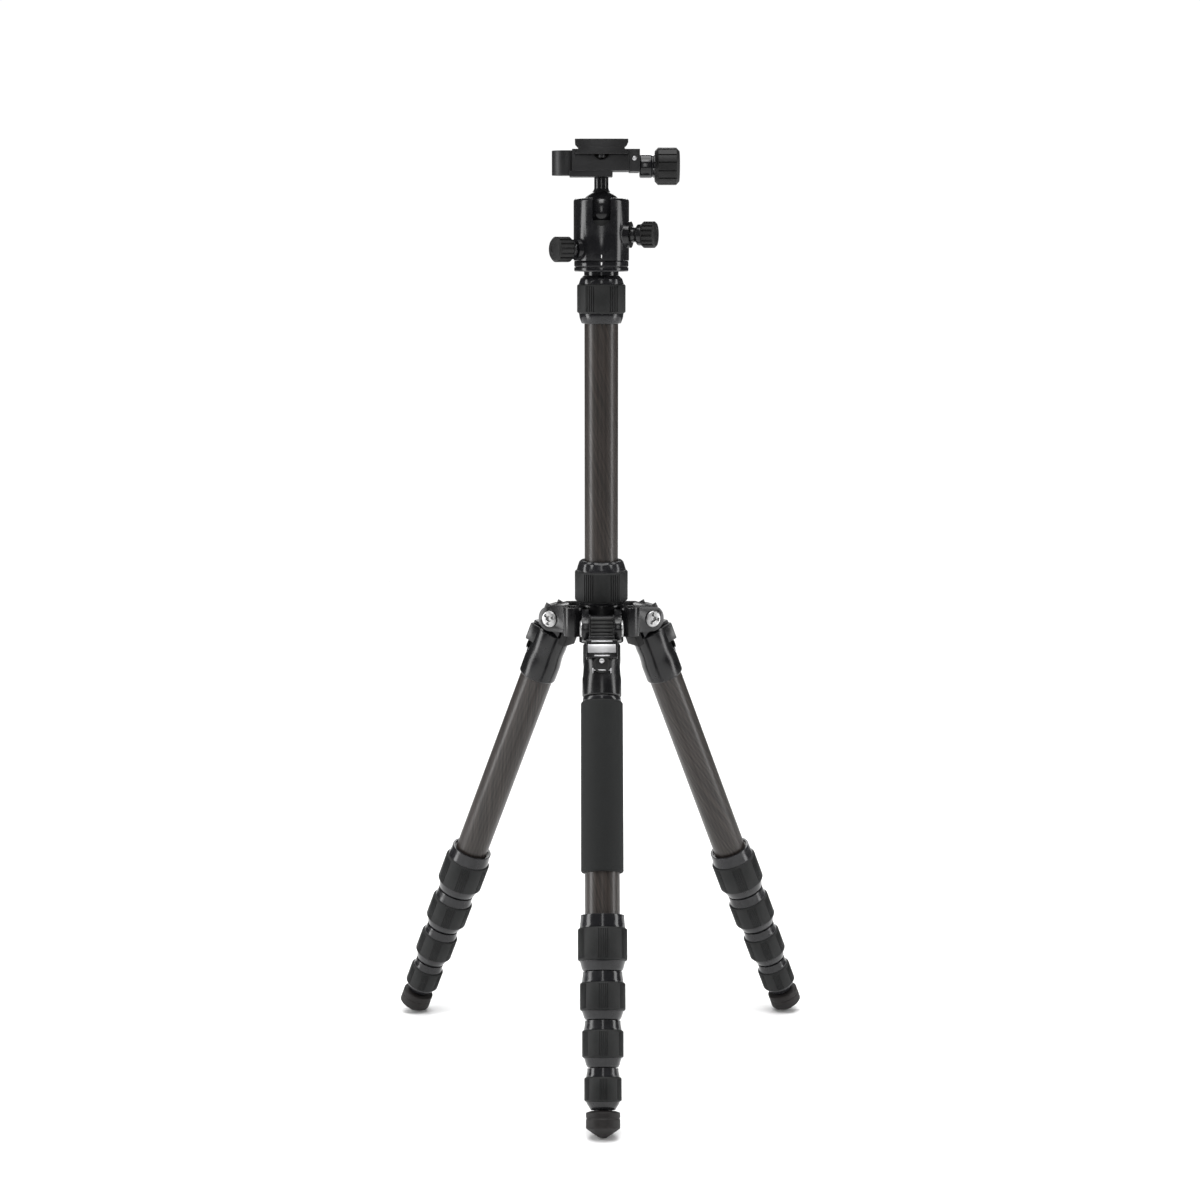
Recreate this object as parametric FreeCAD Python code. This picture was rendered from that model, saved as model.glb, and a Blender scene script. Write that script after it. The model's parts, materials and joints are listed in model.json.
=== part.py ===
import FreeCAD, Part
import math
import os
from FreeCAD import Placement, Rotation, Vector

# Travel tripod with a ball head: three five-section carbon legs that fold up past a centre
# column in two sections, and a ball head with a dovetail quick-release plate.
# Millimetres and degrees. +Z is up, and the origin is on the column's axis at floor level.
# Leg "a" points along -Y, and legs "b" and "c" follow at every third of a turn.

# ---- Driving dimensions: stance and legs ------------------------------------------------
leg_azimuths = {"a": -90.0, "b": 30.0, "c": 150.0}
leg_splay = 22.7              # leg's angle from the vertical on its first stop
upper_leg_length = 208.6      # hinge axis to the top of the first twist lock
top_tube_diameter = 25.0
tube_wall = 1.1
tube_gap = 0.4                # radial room between a tube and the next one inside it
tube_overlap = 30.0           # tube left inside its neighbour when a section is drawn out
tube_entry = 10.0             # highest inner tube's end below the yoke's web
stacking_gap = 0.3            # lock to lock when the leg is closed up

lock_body = 5.1               # a leg lock's thickness around its tube
lock_rubber = 1.6
lock_tops = (9.2, 7.4, 6.6, 6.0)       # bare shoulder above each rubber grip
lock_grips = (23.0, 19.6, 19.0, 16.7)  # rubber grips, top lock first
lock_noses = (7.3, 6.4, 6.8, 5.9)      # bare nose below each rubber grip
lock_lip = 1.0                # wall at a lock's top edge
lock_lip_height = 2.0
nose_step = 1.2               # a lock nose's last taper, on the radius
nose_step_height = 1.6
nose_wall = 1.5
ferrule_wall = 1.0            # threaded ferrule bonded on each tube's lower end
collet_length = 8.0
big_collet_length = 4.0       # the column's
shim_length = 14.0            # guide shim at each inner tube's top end
rib_edge = 1.2                # chamfer where a grip meets its shoulder

foot_diameter = 23.9
foot_collar = 1.5
foot_side = 10.8              # straight side of the rubber foot
foot_cone = 6.3
foot_tip_radius = 2.0
foot_floor = 1.5              # rubber under the last tube's end

grip_sleeve_gap = 3.3         # foam grip on leg "a", below its yoke
bare_tube = 29.9              # tube left bare between the grip and the first lock
grip_sleeve_wall = 2.75

# ---- Driving dimensions: hub and leg yokes ----------------------------------------------
ear_spread = 14.5             # leg plane to the outer face of a hub ear
ear_thickness = 5.0
knuckle_radius = 9.5
fold_gap = 1.73               # label saddle to the hub lock when a leg is folded up past it
ear_crown = 10.5              # top of an ear's root above the hinge axis
hub_wall = 2.9                # around the bush
hub_depth = 16.0              # hub bottom below the hinge axis
hub_neck_height = 13.0        # hub neck's top above the hinge axis
ear_shoulder = 10.4           # ear's full height starts this far inside the hinge axis
web_radius = 7.5              # bosses between the ears
web_stand_out = 7.5           # boss's centre outside the hub's core
web_rib = 9.0                 # width of the rib from the core to each boss
web_rise = 1.5                # boss's top above the ears' roots
accessory_screw_radius = 3.9
accessory_screw_depth = 3.5
accessory_screw_offset = 0.6  # outside the boss's centre
accessory_screw_socket = 1.6
pin_radius = 4.0
pin_head_radius = 6.2
pin_head_height = 1.5
pin_socket = 2.0              # radius of the socket in each head
pin_socket_depth = 1.0
yoke_wall = 1.7               # around the top tube
yoke_length = 51.5            # hinge axis to the yoke's lower end
yoke_web = 22.0               # solid part of the yoke, down to the tube's end
shoulder_gap = 1.4            # yoke's shoulder below the ears' knuckles
tongue_gap = 0.2              # yoke tongue to each ear
pad_proud = 2.0               # stop pad beyond the yoke's side
pad_depth = 3.4               # and its seat in the yoke
pad_span = (4.0, 17.0)        # stop pad, from the hinge axis down
tab_width = 16.0
tab_proud = 1.2               # angle tab beyond the knuckle
tab_bed = 2.0                 # wall between the pin's eye and the tab
tab_guide_proud = 0.4         # tab's guide beyond the knuckle
tab_span = (-6.0, 8.6)
saddle_proud = 0.8            # flat face that carries the leg's label
saddle_span = (11.4, 25.0)
saddle_edge = 0.6             # saddle's sides inside the yoke's
saddle_lip = 7.0              # lip between the ears: its inner face, and its top edge
saddle_lip_top = 9.0

# ---- Driving dimensions: column and its locks -------------------------------------------
column_diameter = 24.7
column_wall = 1.2
column_gap = 0.4
column_reach = 174.8          # column showing between the hub lock and the column lock
column_tail = 8.0             # column below the hub when it is raised
inner_column_travel = 150.0
inner_column_overlap = 40.8
bush_wall = 1.25
collar_thread_length = 20.0   # hub collar inside the hub lock
collar_wall = 1.8
hub_lock_body = 4.25          # hub lock around the hub's collar
hub_lock_height = 32.1
hub_lock_foot = 1.9
hub_lock_grip = 22.7
hub_lock_flange = 1.2         # its foot beyond the hub's core
big_lock_crown = 1.6          # last taper at a big lock's top, on the radius
column_lock_body = 5.35       # column lock around the column
column_top_inset = 3.0        # column's top end below the top of its lock's grip
column_lock_nose = 7.4
column_lock_grip = 21.1
column_lock_shoulder = 6.1
column_lock_taper = 2.0       # its shoulder's slope, on the radius
column_lock_crown = 2.4
column_lock_crown_height = 2.2
hub_lock_taper = 2.6
hub_lock_crown_height = 1.4
big_lock_rubber = 2.0
mount_plate_height = 2.8
mount_plate_lip = 0.2         # head's platform beyond the column's side
mount_stud_radius = 4.7
mount_stud_height = 2.0       # above the pan base
mount_spigot_length = 10.0
hook_wire_radius = 2.0
hook_eye_radius = 7.0         # hook's centreline
hook_shank = 12.0             # travel left under the shank's cap
hook_stand_off = 5.0          # top of the eye's centreline below the column's end
plug_height = 6.0
plug_flange = 1.5
pull_cap_radius = 5.0
pull_cap_height = 2.5
hook_turn = 320               # degrees of wire in the eye

# ---- Driving dimensions: ball head ------------------------------------------------------
pan_base_inset = 0.4          # panning base inside the body's side
pan_base_height = 7.7
pan_base_edge = 0.6
pan_groove = 0.5              # groove round the panning base
pan_groove_span = (3.0, 3.6)
pan_spigot_radius = 13.0
pan_spigot_height = 9.0
body_wall = 4.65              # around the ball's bore
body_height = 44.5
body_edge = 2.5
ball_radius = 15.2
ball_height = 35.3            # ball's centre above the body's bottom
body_floor = 16.5             # bottom of the ball's bore
cup_bore = 6.8                # seat ring under the ball
cup_drop = 6.5                # ring's top below the ball's centre
mouth_flare = 1.7             # countersink round the bore's mouth
mouth_depth = 2.0
notch_width = 13.0
notch_drop = 4.2              # notch's round end below the ball's centre
stem_radius = 5.15
stem_length = 24.4            # ball's centre to the clamp's underside
ball_knob = {"azimuth": -15.0, "height": 18.5, "boss": 9.5, "shaft": 3.0, "neck": 5.85,
             "flange": 7.75, "grip": 9.5, "neck_length": 4.1, "flange_length": 3.6,
             "grip_length": 10.6}
pan_knob = {"azimuth": 210.0, "height": 8.0, "boss": 7.4, "shaft": 2.5, "neck": 5.4,
            "flange": 7.4, "grip": 9.1, "neck_length": 1.4, "flange_length": 2.0,
            "grip_length": 13.3}
boss_proud = 2.05             # knob bosses beyond the body's side
knob_gap = 0.7                # a tightened knob's neck from its boss
knob_edge = 1.2

# ---- Driving dimensions: quick-release clamp and plate ----------------------------------
plate_width = 38.0            # standard dovetail, over its lower edges
plate_length = 50.0
plate_flange = 2.5            # top deck's straight edge
plate_undercut = 3.0          # depth and height of the dovetail's slopes
plate_neck = 0.6
plate_edge = 1.5              # straight edge below the slopes
deck_pad_thickness = 0.8
deck_pad_proud = 0.2
clamp_length = 42.0           # along the plate
clamp_foot_height = 4.0
clamp_foot_inset = 6.0        # from each end of the bed
clamp_foot_span = (2.0, 8.0)  # beyond the fixed side, and past the centre
clamp_bed_height = 11.3
fixed_jaw_wall = 2.0          # fixed jaw outside the plate's edge
bed_overhang = 0.9            # bed beyond the plate's edge, under the moving jaw's side
jaw_thickness = 7.3
jaw_lip = 3.9                 # jaws above the bed
jaw_drop = 0.6                # moving jaw's bottom below the bed's
jaw_root = 1.0                # fixed jaw's root below the bed's top
fixed_jaw_step = 1.2          # lobe's trim inside the fixed side
lobe_drop = 0.6               # lobe's top below the jaw's
lobe_rise = 1.0               # lobe's bottom above the clamp's
level_lobe_radius = 11.0      # rounded end that carries the level
level_lobe_length = 14.8      # beyond the fixed jaw's side
level_radius = 4.6
level_offset = 7.2            # fixed jaw's side to the level's centre
level_depth = 5.0
level_rim = 1.5
level_cup = 0.8
lens_drop = 0.2
clamp_knob_radius = 13.35
clamp_knob_length = 17.9
clamp_knob_edge = 2.4
clamp_collar_radius = 8.3
clamp_collar_length = 11.0
clamp_rod_radius = 2.5
clamp_rod_depth = 16.0
clamp_axis_drop = 7.7         # knob's axis below the bed's top
guide_pin_radius = 1.5
guide_pin_offset = 14.0
jaw_travel = 3.0
camera_screw_radius = 3.175   # quarter-inch camera thread
camera_screw_head = 8.0
camera_screw_head_height = 2.2
camera_screw_rest = 0.4       # head's underside above the plate's
camera_screw_lift = 5.0
driver_slot = 0.8             # half the slot in its head
driver_slot_depth = 1.0
pad_edge = 3.0                # rubber strips inside the plate's sides
pad_end = 2.5                 # and inside its ends
pad_to_screw = 4.0
stop_screw_radius = 2.2
stop_screw_drop = 2.4
stop_screw_inset = 3.2        # from each end of the plate
stop_slot_room = 4.0          # bed's slot round a stop screw
stop_slot_rise = 0.4          # slot's centre above the bed's top, in its radii
plate_travel = 8.0            # each way before a stop screw meets the bed

# ---- Named clearances -------------------------------------------------------------------
running = 0.05                # turning and sliding fits, on the radius
ball_room = 0.3               # ball to the body's bore
loose = 0.3                   # tube through a nose, screw through a clearance hole
face_gap = 0.2                # pieces that turn or slide past each other face to face

# ---- Sizes that follow ------------------------------------------------------------------
tube_count = len(lock_tops) + 1
tube_step = 2 * (tube_wall + tube_gap)
tube_radii = [(top_tube_diameter - n * tube_step) / 2 for n in range(tube_count)]
tube_end_margin = 4.0         # a tube stops this far above its lock's nose


def leg_stations():
    """Distances from the hinge axis for each lock: top, grip start, grip end, nose end."""
    rows = []
    top = upper_leg_length
    for shoulder, grip, nose in zip(lock_tops, lock_grips, lock_noses):
        rows.append((top, top + shoulder, top + shoulder + grip, top + shoulder + grip + nose))
        top = rows[-1][3] + stacking_gap
    return rows


stations = leg_stations()
tube_ends = [row[2] - tube_end_margin for row in stations]
foot_top = stations[-1][3] + stacking_gap
foot_end = foot_top + foot_collar + foot_side + foot_cone
tube_ends.append(foot_end - foot_cone - foot_floor)
inner_tube_top = yoke_web + tube_entry
section_travel = tube_ends[0] - tube_overlap - inner_tube_top
tube_tops = [yoke_web] + [end - tube_overlap - section_travel for end in tube_ends[:-1]]

yoke_radius = tube_radii[0] + yoke_wall
pad_reach = yoke_radius + pad_proud
tab_face = knuckle_radius + tab_proud
tab_seat = pin_radius + running + tab_bed
saddle_face = yoke_radius + saddle_proud
column_radius = column_diameter / 2
bush_radius = column_radius + running + bush_wall
hub_radius = bush_radius + hub_wall
hub_lock_radius = bush_radius + collar_wall + hub_lock_body
hinge_radius = hub_lock_radius + fold_gap + saddle_face
web_offset = hub_radius + web_stand_out

splay = math.radians(leg_splay)
hinge_height = foot_end * math.cos(splay) + foot_tip_radius * math.sin(splay)

hub_lock_bottom = hinge_height + hub_neck_height + face_gap
hub_lock_top = hub_lock_bottom + hub_lock_height
column_lock_bottom = hub_lock_top + column_reach
column_lock_top = (column_lock_bottom + column_lock_nose + column_lock_grip
                   + column_lock_shoulder)
mount_plate_bottom = column_lock_top + face_gap
pan_base_bottom = mount_plate_bottom + mount_plate_height
body_bottom = pan_base_bottom + pan_base_height + face_gap
body_radius = ball_radius + ball_room + body_wall
boss_reach = body_radius + boss_proud
mouth_radius = (math.sqrt((ball_radius + ball_room) ** 2 - (body_height - ball_height) ** 2)
                + mouth_flare)
pan_base_radius = body_radius - pan_base_inset
ball_centre = body_bottom + ball_height
clamp_bottom = ball_centre + stem_length
bed_bottom = clamp_bottom + clamp_foot_height
bed_top = bed_bottom + clamp_bed_height
plate_bottom = bed_top + face_gap
plate_deck = plate_bottom + plate_edge + 2 * plate_undercut + plate_neck + plate_flange
knob_axis_height = bed_top - clamp_axis_drop
clamp_left = plate_width / 2 + fixed_jaw_wall
clamp_right = plate_width / 2 + bed_overhang
level_lobe_reach = clamp_left + level_lobe_length
level_reach = clamp_left + level_offset


# ---- Building helpers -------------------------------------------------------------------
def flat(points):
    """A plane face through the points."""
    return Part.Face(Part.makePolygon(list(points) + [points[0]]))


def turned(outline):
    """A body of revolution about Z from (radius, height) points."""
    profile = flat([Vector(radius, 0, height) for radius, height in outline])
    return profile.revolve(Vector(), Vector(0, 0, 1), 360)


def rod(radius, bottom, top):
    return Part.makeCylinder(radius, top - bottom, Vector(0, 0, bottom))


def sleeve(inner, outer, bottom, top):
    return rod(outer, bottom, top).cut(rod(inner, bottom - 1, top + 1))


def block(x, y, z):
    """A box between two limits along each axis."""
    return Part.makeBox(x[1] - x[0], y[1] - y[0], z[1] - z[0], Vector(x[0], y[0], z[0]))


def rod_y(radius, y, x=0.0, z=0.0):
    return Part.makeCylinder(radius, y[1] - y[0], Vector(x, y[0], z), Vector(0, 1, 0))


def rod_x(radius, x, y=0.0, z=0.0):
    return Part.makeCylinder(radius, x[1] - x[0], Vector(x[0], y, z), Vector(1, 0, 0))


def fused(shapes):
    return shapes[0].multiFuse(shapes[1:]).removeSplitter()


def turn_about_z(shape, azimuth, lift=0.0):
    moved = shape.copy()
    spin = Rotation(Vector(0, 0, 1), azimuth)
    moved.Placement = Placement(Vector(0, 0, lift), spin).multiply(moved.Placement)
    return moved


def extruded_y(outline, y):
    """A prism along Y from (x, z) points."""
    face = flat([Vector(px, y[0], pz) for px, pz in outline])
    return face.extrude(Vector(0, y[1] - y[0], 0))


def node(name, *solids):
    """Write one sub-part, which may be several separate solids."""
    shape = solids[0] if len(solids) == 1 else Part.makeCompound(list(solids))
    shape.exportStep("parts/" + name + ".step")


# ---- Legs, built hanging straight down from a hinge axis at the origin ------------------
# X points away from the column and the hinge axis lies along Y.
def leg_tube(n):
    """Tube n with what is bonded to it: lower ferrule and collet, and upper guide shim."""
    outer = tube_radii[n]
    bore = outer - tube_wall
    end = tube_ends[n]
    solids = [sleeve(bore, outer, -end, -tube_tops[n])]
    if n < tube_count - 1:
        ferrule_top = stations[n][0] + 1.0
        solids.append(sleeve(outer, outer + ferrule_wall, -end, -ferrule_top))
        inner = tube_radii[n + 1] + running
        solids.append(sleeve(inner, outer + ferrule_wall, -end - collet_length, -end))
    if n > 0:
        upper_bore = tube_radii[n - 1] - tube_wall
        top = -tube_tops[n]
        solids.append(sleeve(outer, upper_bore - running, top - shim_length, top))
    return solids


def leg_lock(n):
    """Twist sleeve n and the rubber grip moulded round it."""
    top, grip_start, grip_end, nose_end = stations[n]
    bore = tube_radii[n] + ferrule_wall + running
    nose_bore = tube_radii[n + 1] + loose
    grip = tube_radii[n] + lock_body
    core = grip - lock_rubber
    collet_end = tube_ends[n] + collet_length + face_gap
    upper_bore = tube_radii[n] + face_gap
    shell = turned([
        (upper_bore, -top), (bore + lock_lip, -top), (bore + lock_lip, -top - lock_lip_height),
        (grip - rib_edge, -grip_start), (core, -grip_start), (core, -grip_end),
        (grip - rib_edge, -grip_end),
        (nose_bore + nose_wall + nose_step, -nose_end + nose_step_height),
        (nose_bore + nose_wall, -nose_end), (nose_bore, -nose_end),
        (nose_bore, -collet_end), (bore, -collet_end), (bore, -top - 1.0 + face_gap),
        (upper_bore, -top - 1.0 + face_gap)])
    rubber = turned([
        (core, -grip_start), (grip - rib_edge, -grip_start),
        (grip, -grip_start - rib_edge), (grip, -grip_end + rib_edge),
        (grip - rib_edge, -grip_end), (core, -grip_end)])
    return [shell, rubber]


def leg_foot():
    radius = foot_diameter / 2
    bore = tube_radii[-1]
    side_end = foot_top + foot_collar + foot_side
    tube_end = tube_ends[-1]
    return turned([
        (bore, -foot_top), (bore + nose_wall, -foot_top), (radius, -foot_top - foot_collar),
        (radius, -side_end), (foot_tip_radius, -foot_end), (0, -foot_end),
        (0, -tube_end), (bore, -tube_end)])


def leg_yoke():
    """Yoke casting with its tongue, label saddle and tab guide, and the stop pad on it."""
    half_tongue = ear_spread - ear_thickness - tongue_gap
    shoulder = knuckle_radius + shoulder_gap
    barrel = turned([
        (0, -shoulder), (yoke_radius - 1.2, -shoulder), (yoke_radius, -shoulder - 1.2),
        (yoke_radius, -yoke_length + 0.8), (yoke_radius - 0.8, -yoke_length),
        (0, -yoke_length)])
    tongue = (-half_tongue, half_tongue)
    knuckle = rod_y(knuckle_radius, tongue)
    guide_face = knuckle_radius + tab_guide_proud
    guide = block((-knuckle_radius, guide_face), tongue, (-shoulder - 2.0, 0.0))
    nose = block((0.0, guide_face), tongue, (-shoulder, -tab_span[0] + 2.0))
    saddle_half = yoke_radius - saddle_edge
    saddle = extruded_y(
        [(0.0, -saddle_span[0]), (saddle_face - 1.0, -saddle_span[0]),
         (saddle_face, -saddle_span[0] - 1.0), (saddle_face, -saddle_span[1]),
         (yoke_radius - 1.0, -saddle_span[1] - 3.0), (0.0, -saddle_span[1] - 3.0)],
        (-saddle_half, saddle_half))
    lip = block((saddle_lip, saddle_face - 1.0), tongue, (-saddle_span[0] - 2.0, -saddle_lip_top))
    saddle = saddle.common(rod(saddle_half + 3.6, -yoke_length, 0.0))
    casting = fused([barrel, knuckle, guide, nose, saddle, lip])
    side = tab_width / 2 + running
    slot = block((tab_seat - face_gap, tab_face + 5.0), (-side, side),
                 (-tab_span[1] - running, -tab_span[0] + running))
    eye = rod_y(pin_radius + running, (-ear_spread, ear_spread))
    pad_room = block((-pad_reach, pad_depth - yoke_radius), (-half_tongue + 1, half_tongue - 1),
                     (-pad_span[1], -pad_span[0]))
    socket = rod(tube_radii[0], -yoke_length - 1, -yoke_web)
    casting = casting.cut(slot).cut(eye).cut(pad_room).cut(socket)
    return [casting, pad_room]


def leg_angle_tab():
    """Ribbed tab that is drawn out to let the leg pass its stops."""
    half = tab_width / 2
    tab = block((tab_seat, tab_face - 1.0), (-half, half), (-tab_span[1], -tab_span[0]))
    rib_count = 5
    pitch = (tab_span[1] - tab_span[0]) / rib_count
    ribs = []
    for n in range(rib_count):
        low = -tab_span[1] + n * pitch + pitch * 0.2
        ribs.append(block((tab_face - 1.5, tab_face), (-half, half), (low, low + pitch * 0.6)))
    return fused([tab] + ribs)


def on_leg(shape, azimuth):
    """Splay a leg piece about its hinge and carry it to its place round the hub."""
    moved = shape.copy()
    lean = Placement(Vector(hinge_radius, 0, hinge_height), Rotation(Vector(0, 1, 0), -leg_splay))
    around = Placement(Vector(), Rotation(Vector(0, 0, 1), azimuth))
    moved.Placement = around.multiply(lean).multiply(moved.Placement)
    return moved


def grip_sleeve():
    grip_sleeve_start = yoke_length + grip_sleeve_gap
    end = upper_leg_length - bare_tube
    outer = tube_radii[0] + grip_sleeve_wall
    return turned([
        (tube_radii[0], -grip_sleeve_start), (outer - 0.8, -grip_sleeve_start),
        (outer, -grip_sleeve_start - 0.8), (outer, -end + 0.8), (outer - 0.8, -end),
        (tube_radii[0], -end)])


# ---- Hub --------------------------------------------------------------------------------
def hub_casting():
    crown = hinge_height + ear_crown
    neck_top = hinge_height + hub_neck_height
    bottom = hinge_height - hub_depth
    core = rod(hub_radius, bottom, neck_top)
    collar = rod(bush_radius + collar_wall, neck_top - 1.0, neck_top + collar_thread_length)
    ear_inner = ear_spread - ear_thickness
    low = hinge_height - knuckle_radius
    high = hinge_height + knuckle_radius
    root = bush_radius - ear_thickness
    shapes = [core, collar]
    for azimuth in leg_azimuths.values():
        for side in (-1, 1):
            span = sorted((side * ear_inner, side * ear_spread))
            ear = extruded_y(
                [(root, low), (hinge_radius, low), (hinge_radius, high),
                 (hinge_radius - ear_shoulder, crown), (root, crown)], span)
            knuckle = rod_y(knuckle_radius, span, hinge_radius, hinge_height)
            shapes.append(turn_about_z(ear, azimuth))
            shapes.append(turn_about_z(knuckle, azimuth))
        web = rod(web_radius, low, crown + web_rise)
        web.translate(Vector(web_offset, 0, 0))
        rib = block((bush_radius + 1, web_offset), (-web_rib / 2, web_rib / 2), (low, crown))
        shapes.append(turn_about_z(web.fuse(rib), azimuth + 60.0))
    hub = fused(shapes)
    hub = hub.cut(rod(bush_radius, bottom - 1, neck_top + collar_thread_length + 1))
    for azimuth in leg_azimuths.values():
        eye = rod_y(pin_radius, (-ear_spread - 1, ear_spread + 1), hinge_radius, hinge_height)
        hub = hub.cut(turn_about_z(eye, azimuth))
        hub = hub.cut(turn_about_z(accessory_socket(), azimuth + 60.0))
    return hub


def accessory_socket():
    bottom = hinge_height + ear_crown + web_rise - accessory_screw_depth - 1.0
    socket = rod(accessory_screw_radius, bottom, bottom + accessory_screw_depth + 2.0)
    socket.translate(Vector(web_offset + accessory_screw_offset, 0, 0))
    return socket


def accessory_screw():
    """Threaded bush in a boss, its top below the boss's."""
    bottom = hinge_height + ear_crown + web_rise - accessory_screw_depth - 1.0
    screw = rod(accessory_screw_radius, bottom, bottom + accessory_screw_depth - 0.6)
    screw = screw.cut(rod(accessory_screw_socket, bottom + 1.0, bottom + accessory_screw_depth))
    screw.translate(Vector(web_offset + accessory_screw_offset, 0, 0))
    return screw


def pivot_pin():
    """Shaft pressed in the ears, with a socketed head at each end."""
    reach = ear_spread + pin_head_height
    shaft = rod_y(pin_radius, (-reach, reach), hinge_radius, hinge_height)
    heads = []
    for side in (-1, 1):
        span = sorted((side * ear_spread, side * reach))
        heads.append(rod_y(pin_head_radius, span, hinge_radius, hinge_height))
    pin = fused([shaft] + heads)
    for side in (-1, 1):
        span = sorted((side * (reach - pin_socket_depth), side * (reach + 1.0)))
        pin = pin.cut(rod_y(pin_socket, span, hinge_radius, hinge_height))
    return pin


def hub_bush():
    bottom = hinge_height - hub_depth
    top = hinge_height + hub_neck_height + collar_thread_length
    return sleeve(column_radius + running, bush_radius, bottom, top)


def hub_lock():
    bottom = hub_lock_bottom
    grip_start = bottom + hub_lock_foot
    grip_end = grip_start + hub_lock_grip
    top = hub_lock_top
    collar = bush_radius + collar_wall + running
    radius = hub_lock_radius
    core = radius - big_lock_rubber
    collar_top = hinge_height + hub_neck_height + collar_thread_length + face_gap
    bore = column_radius + loose
    shell = turned([
        (collar, bottom), (hub_radius + hub_lock_flange, bottom),
        (radius - rib_edge, grip_start), (core, grip_start), (core, grip_end),
        (radius - rib_edge, grip_end), (radius - hub_lock_taper, top - hub_lock_crown_height),
        (radius - hub_lock_taper - big_lock_crown, top), (bore, top),
        (bore, collar_top), (collar, collar_top)])
    rubber = turned([
        (core, grip_start), (radius - rib_edge, grip_start), (radius, grip_start + rib_edge),
        (radius, grip_end - rib_edge), (radius - rib_edge, grip_end), (core, grip_end)])
    return [shell, rubber]


# ---- Column -----------------------------------------------------------------------------
column_tube_top = column_lock_bottom + column_lock_nose + column_lock_grip - column_top_inset
column_bottom = hinge_height - hub_depth - column_tail
inner_column_radius = column_radius - column_wall - column_gap
inner_column_bottom = column_tube_top - inner_column_overlap - inner_column_travel


def column_tube():
    """Outer column with its ferrule, the collet above it and the end plug below."""
    bore = column_radius - column_wall
    tube = sleeve(bore, column_radius, column_bottom, column_tube_top)
    ferrule = sleeve(column_radius, column_radius + ferrule_wall,
                     column_lock_bottom + 1.0, column_tube_top)
    collet = sleeve(inner_column_radius + running, column_radius + ferrule_wall,
                    column_tube_top, column_tube_top + big_collet_length)
    hole = hook_wire_radius + running
    plug = turned([
        (hole, column_bottom - plug_flange), (column_radius, column_bottom - plug_flange),
        (column_radius, column_bottom), (bore, column_bottom),
        (bore, column_bottom + plug_height), (hole, column_bottom + plug_height)])
    return [tube, ferrule, collet, plug]


def column_lock():
    bottom = column_lock_bottom
    grip_start = bottom + column_lock_nose
    grip_end = grip_start + column_lock_grip
    top = column_lock_top
    radius = column_radius + column_lock_body
    core = radius - big_lock_rubber
    bore = column_radius + ferrule_wall + running
    lower_bore = column_radius + face_gap
    neck = inner_column_radius + loose
    collet_top = column_tube_top + big_collet_length + face_gap
    shell = turned([
        (lower_bore, bottom), (bore + lock_lip, bottom), (radius - rib_edge, grip_start),
        (core, grip_start), (core, grip_end), (radius - rib_edge, grip_end),
        (radius - column_lock_taper, top - column_lock_crown_height),
        (radius - column_lock_taper - column_lock_crown, top), (neck, top),
        (neck, collet_top), (bore, collet_top), (bore, bottom + 1.0 - face_gap),
        (lower_bore, bottom + 1.0 - face_gap)])
    rubber = turned([
        (core, grip_start), (radius - rib_edge, grip_start), (radius, grip_start + rib_edge),
        (radius, grip_end - rib_edge), (radius - rib_edge, grip_end), (core, grip_end)])
    return [shell, rubber]


def inner_column():
    """Inner column tube with the guide shim at its lower end."""
    bore = inner_column_radius - column_wall
    tube = sleeve(bore, inner_column_radius, inner_column_bottom, mount_plate_bottom)
    outer_bore = column_radius - column_wall
    shim = sleeve(inner_column_radius, outer_bore - running,
                  inner_column_bottom, inner_column_bottom + shim_length)
    return [tube, shim]


def head_mount_plate():
    """Platform on the inner column, with its spigot below and the head's stud above."""
    spigot = inner_column_radius - column_wall
    spigot_end = mount_plate_bottom - mount_spigot_length
    radius = column_radius + mount_plate_lip
    stud_top = pan_base_bottom + pan_base_height + mount_stud_height
    return turned([
        (0, spigot_end), (spigot, spigot_end), (spigot, mount_plate_bottom),
        (radius, mount_plate_bottom), (radius, pan_base_bottom),
        (mount_stud_radius, pan_base_bottom), (mount_stud_radius, stud_top), (0, stud_top)])


def weight_hook():
    """Wire hook that drops from the column's end plug, kept up by a cap on its shank."""
    stop = column_bottom + plug_height + face_gap + hook_shank
    eye_centre = column_bottom - hook_stand_off - hook_eye_radius
    shank = rod(hook_wire_radius, eye_centre + hook_eye_radius, stop)
    cap = rod(pull_cap_radius, stop, stop + pull_cap_height)
    ring = Part.makeTorus(hook_eye_radius, hook_wire_radius, Vector(0, 0, eye_centre),
                          Vector(0, 1, 0), -180, 180, hook_turn)
    ring.rotate(Vector(0, 0, eye_centre), Vector(0, 1, 0), -90)
    return fused([shank, cap, ring])


# ---- Ball head --------------------------------------------------------------------------
def pan_base():
    low = pan_base_bottom
    top = low + pan_base_height
    spigot_top = top + face_gap + pan_spigot_height
    stud_top = top + mount_stud_height
    groove_low, groove_high = pan_groove_span
    return turned([
        (mount_stud_radius, low), (pan_base_radius - pan_base_edge, low),
        (pan_base_radius, low + pan_base_edge), (pan_base_radius, low + groove_low),
        (pan_base_radius - pan_groove, low + (groove_low + groove_high) / 2),
        (pan_base_radius, low + groove_high), (pan_base_radius, top - pan_base_edge),
        (pan_base_radius - pan_base_edge, top), (pan_spigot_radius, top),
        (pan_spigot_radius, spigot_top), (0, spigot_top), (0, stud_top),
        (mount_stud_radius, stud_top)])


def aimed(shape, knob, lift=body_bottom):
    """Carry a piece built along X at height zero to a knob's place on the head."""
    return turn_about_z(shape, knob["azimuth"], lift + knob["height"])


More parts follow.
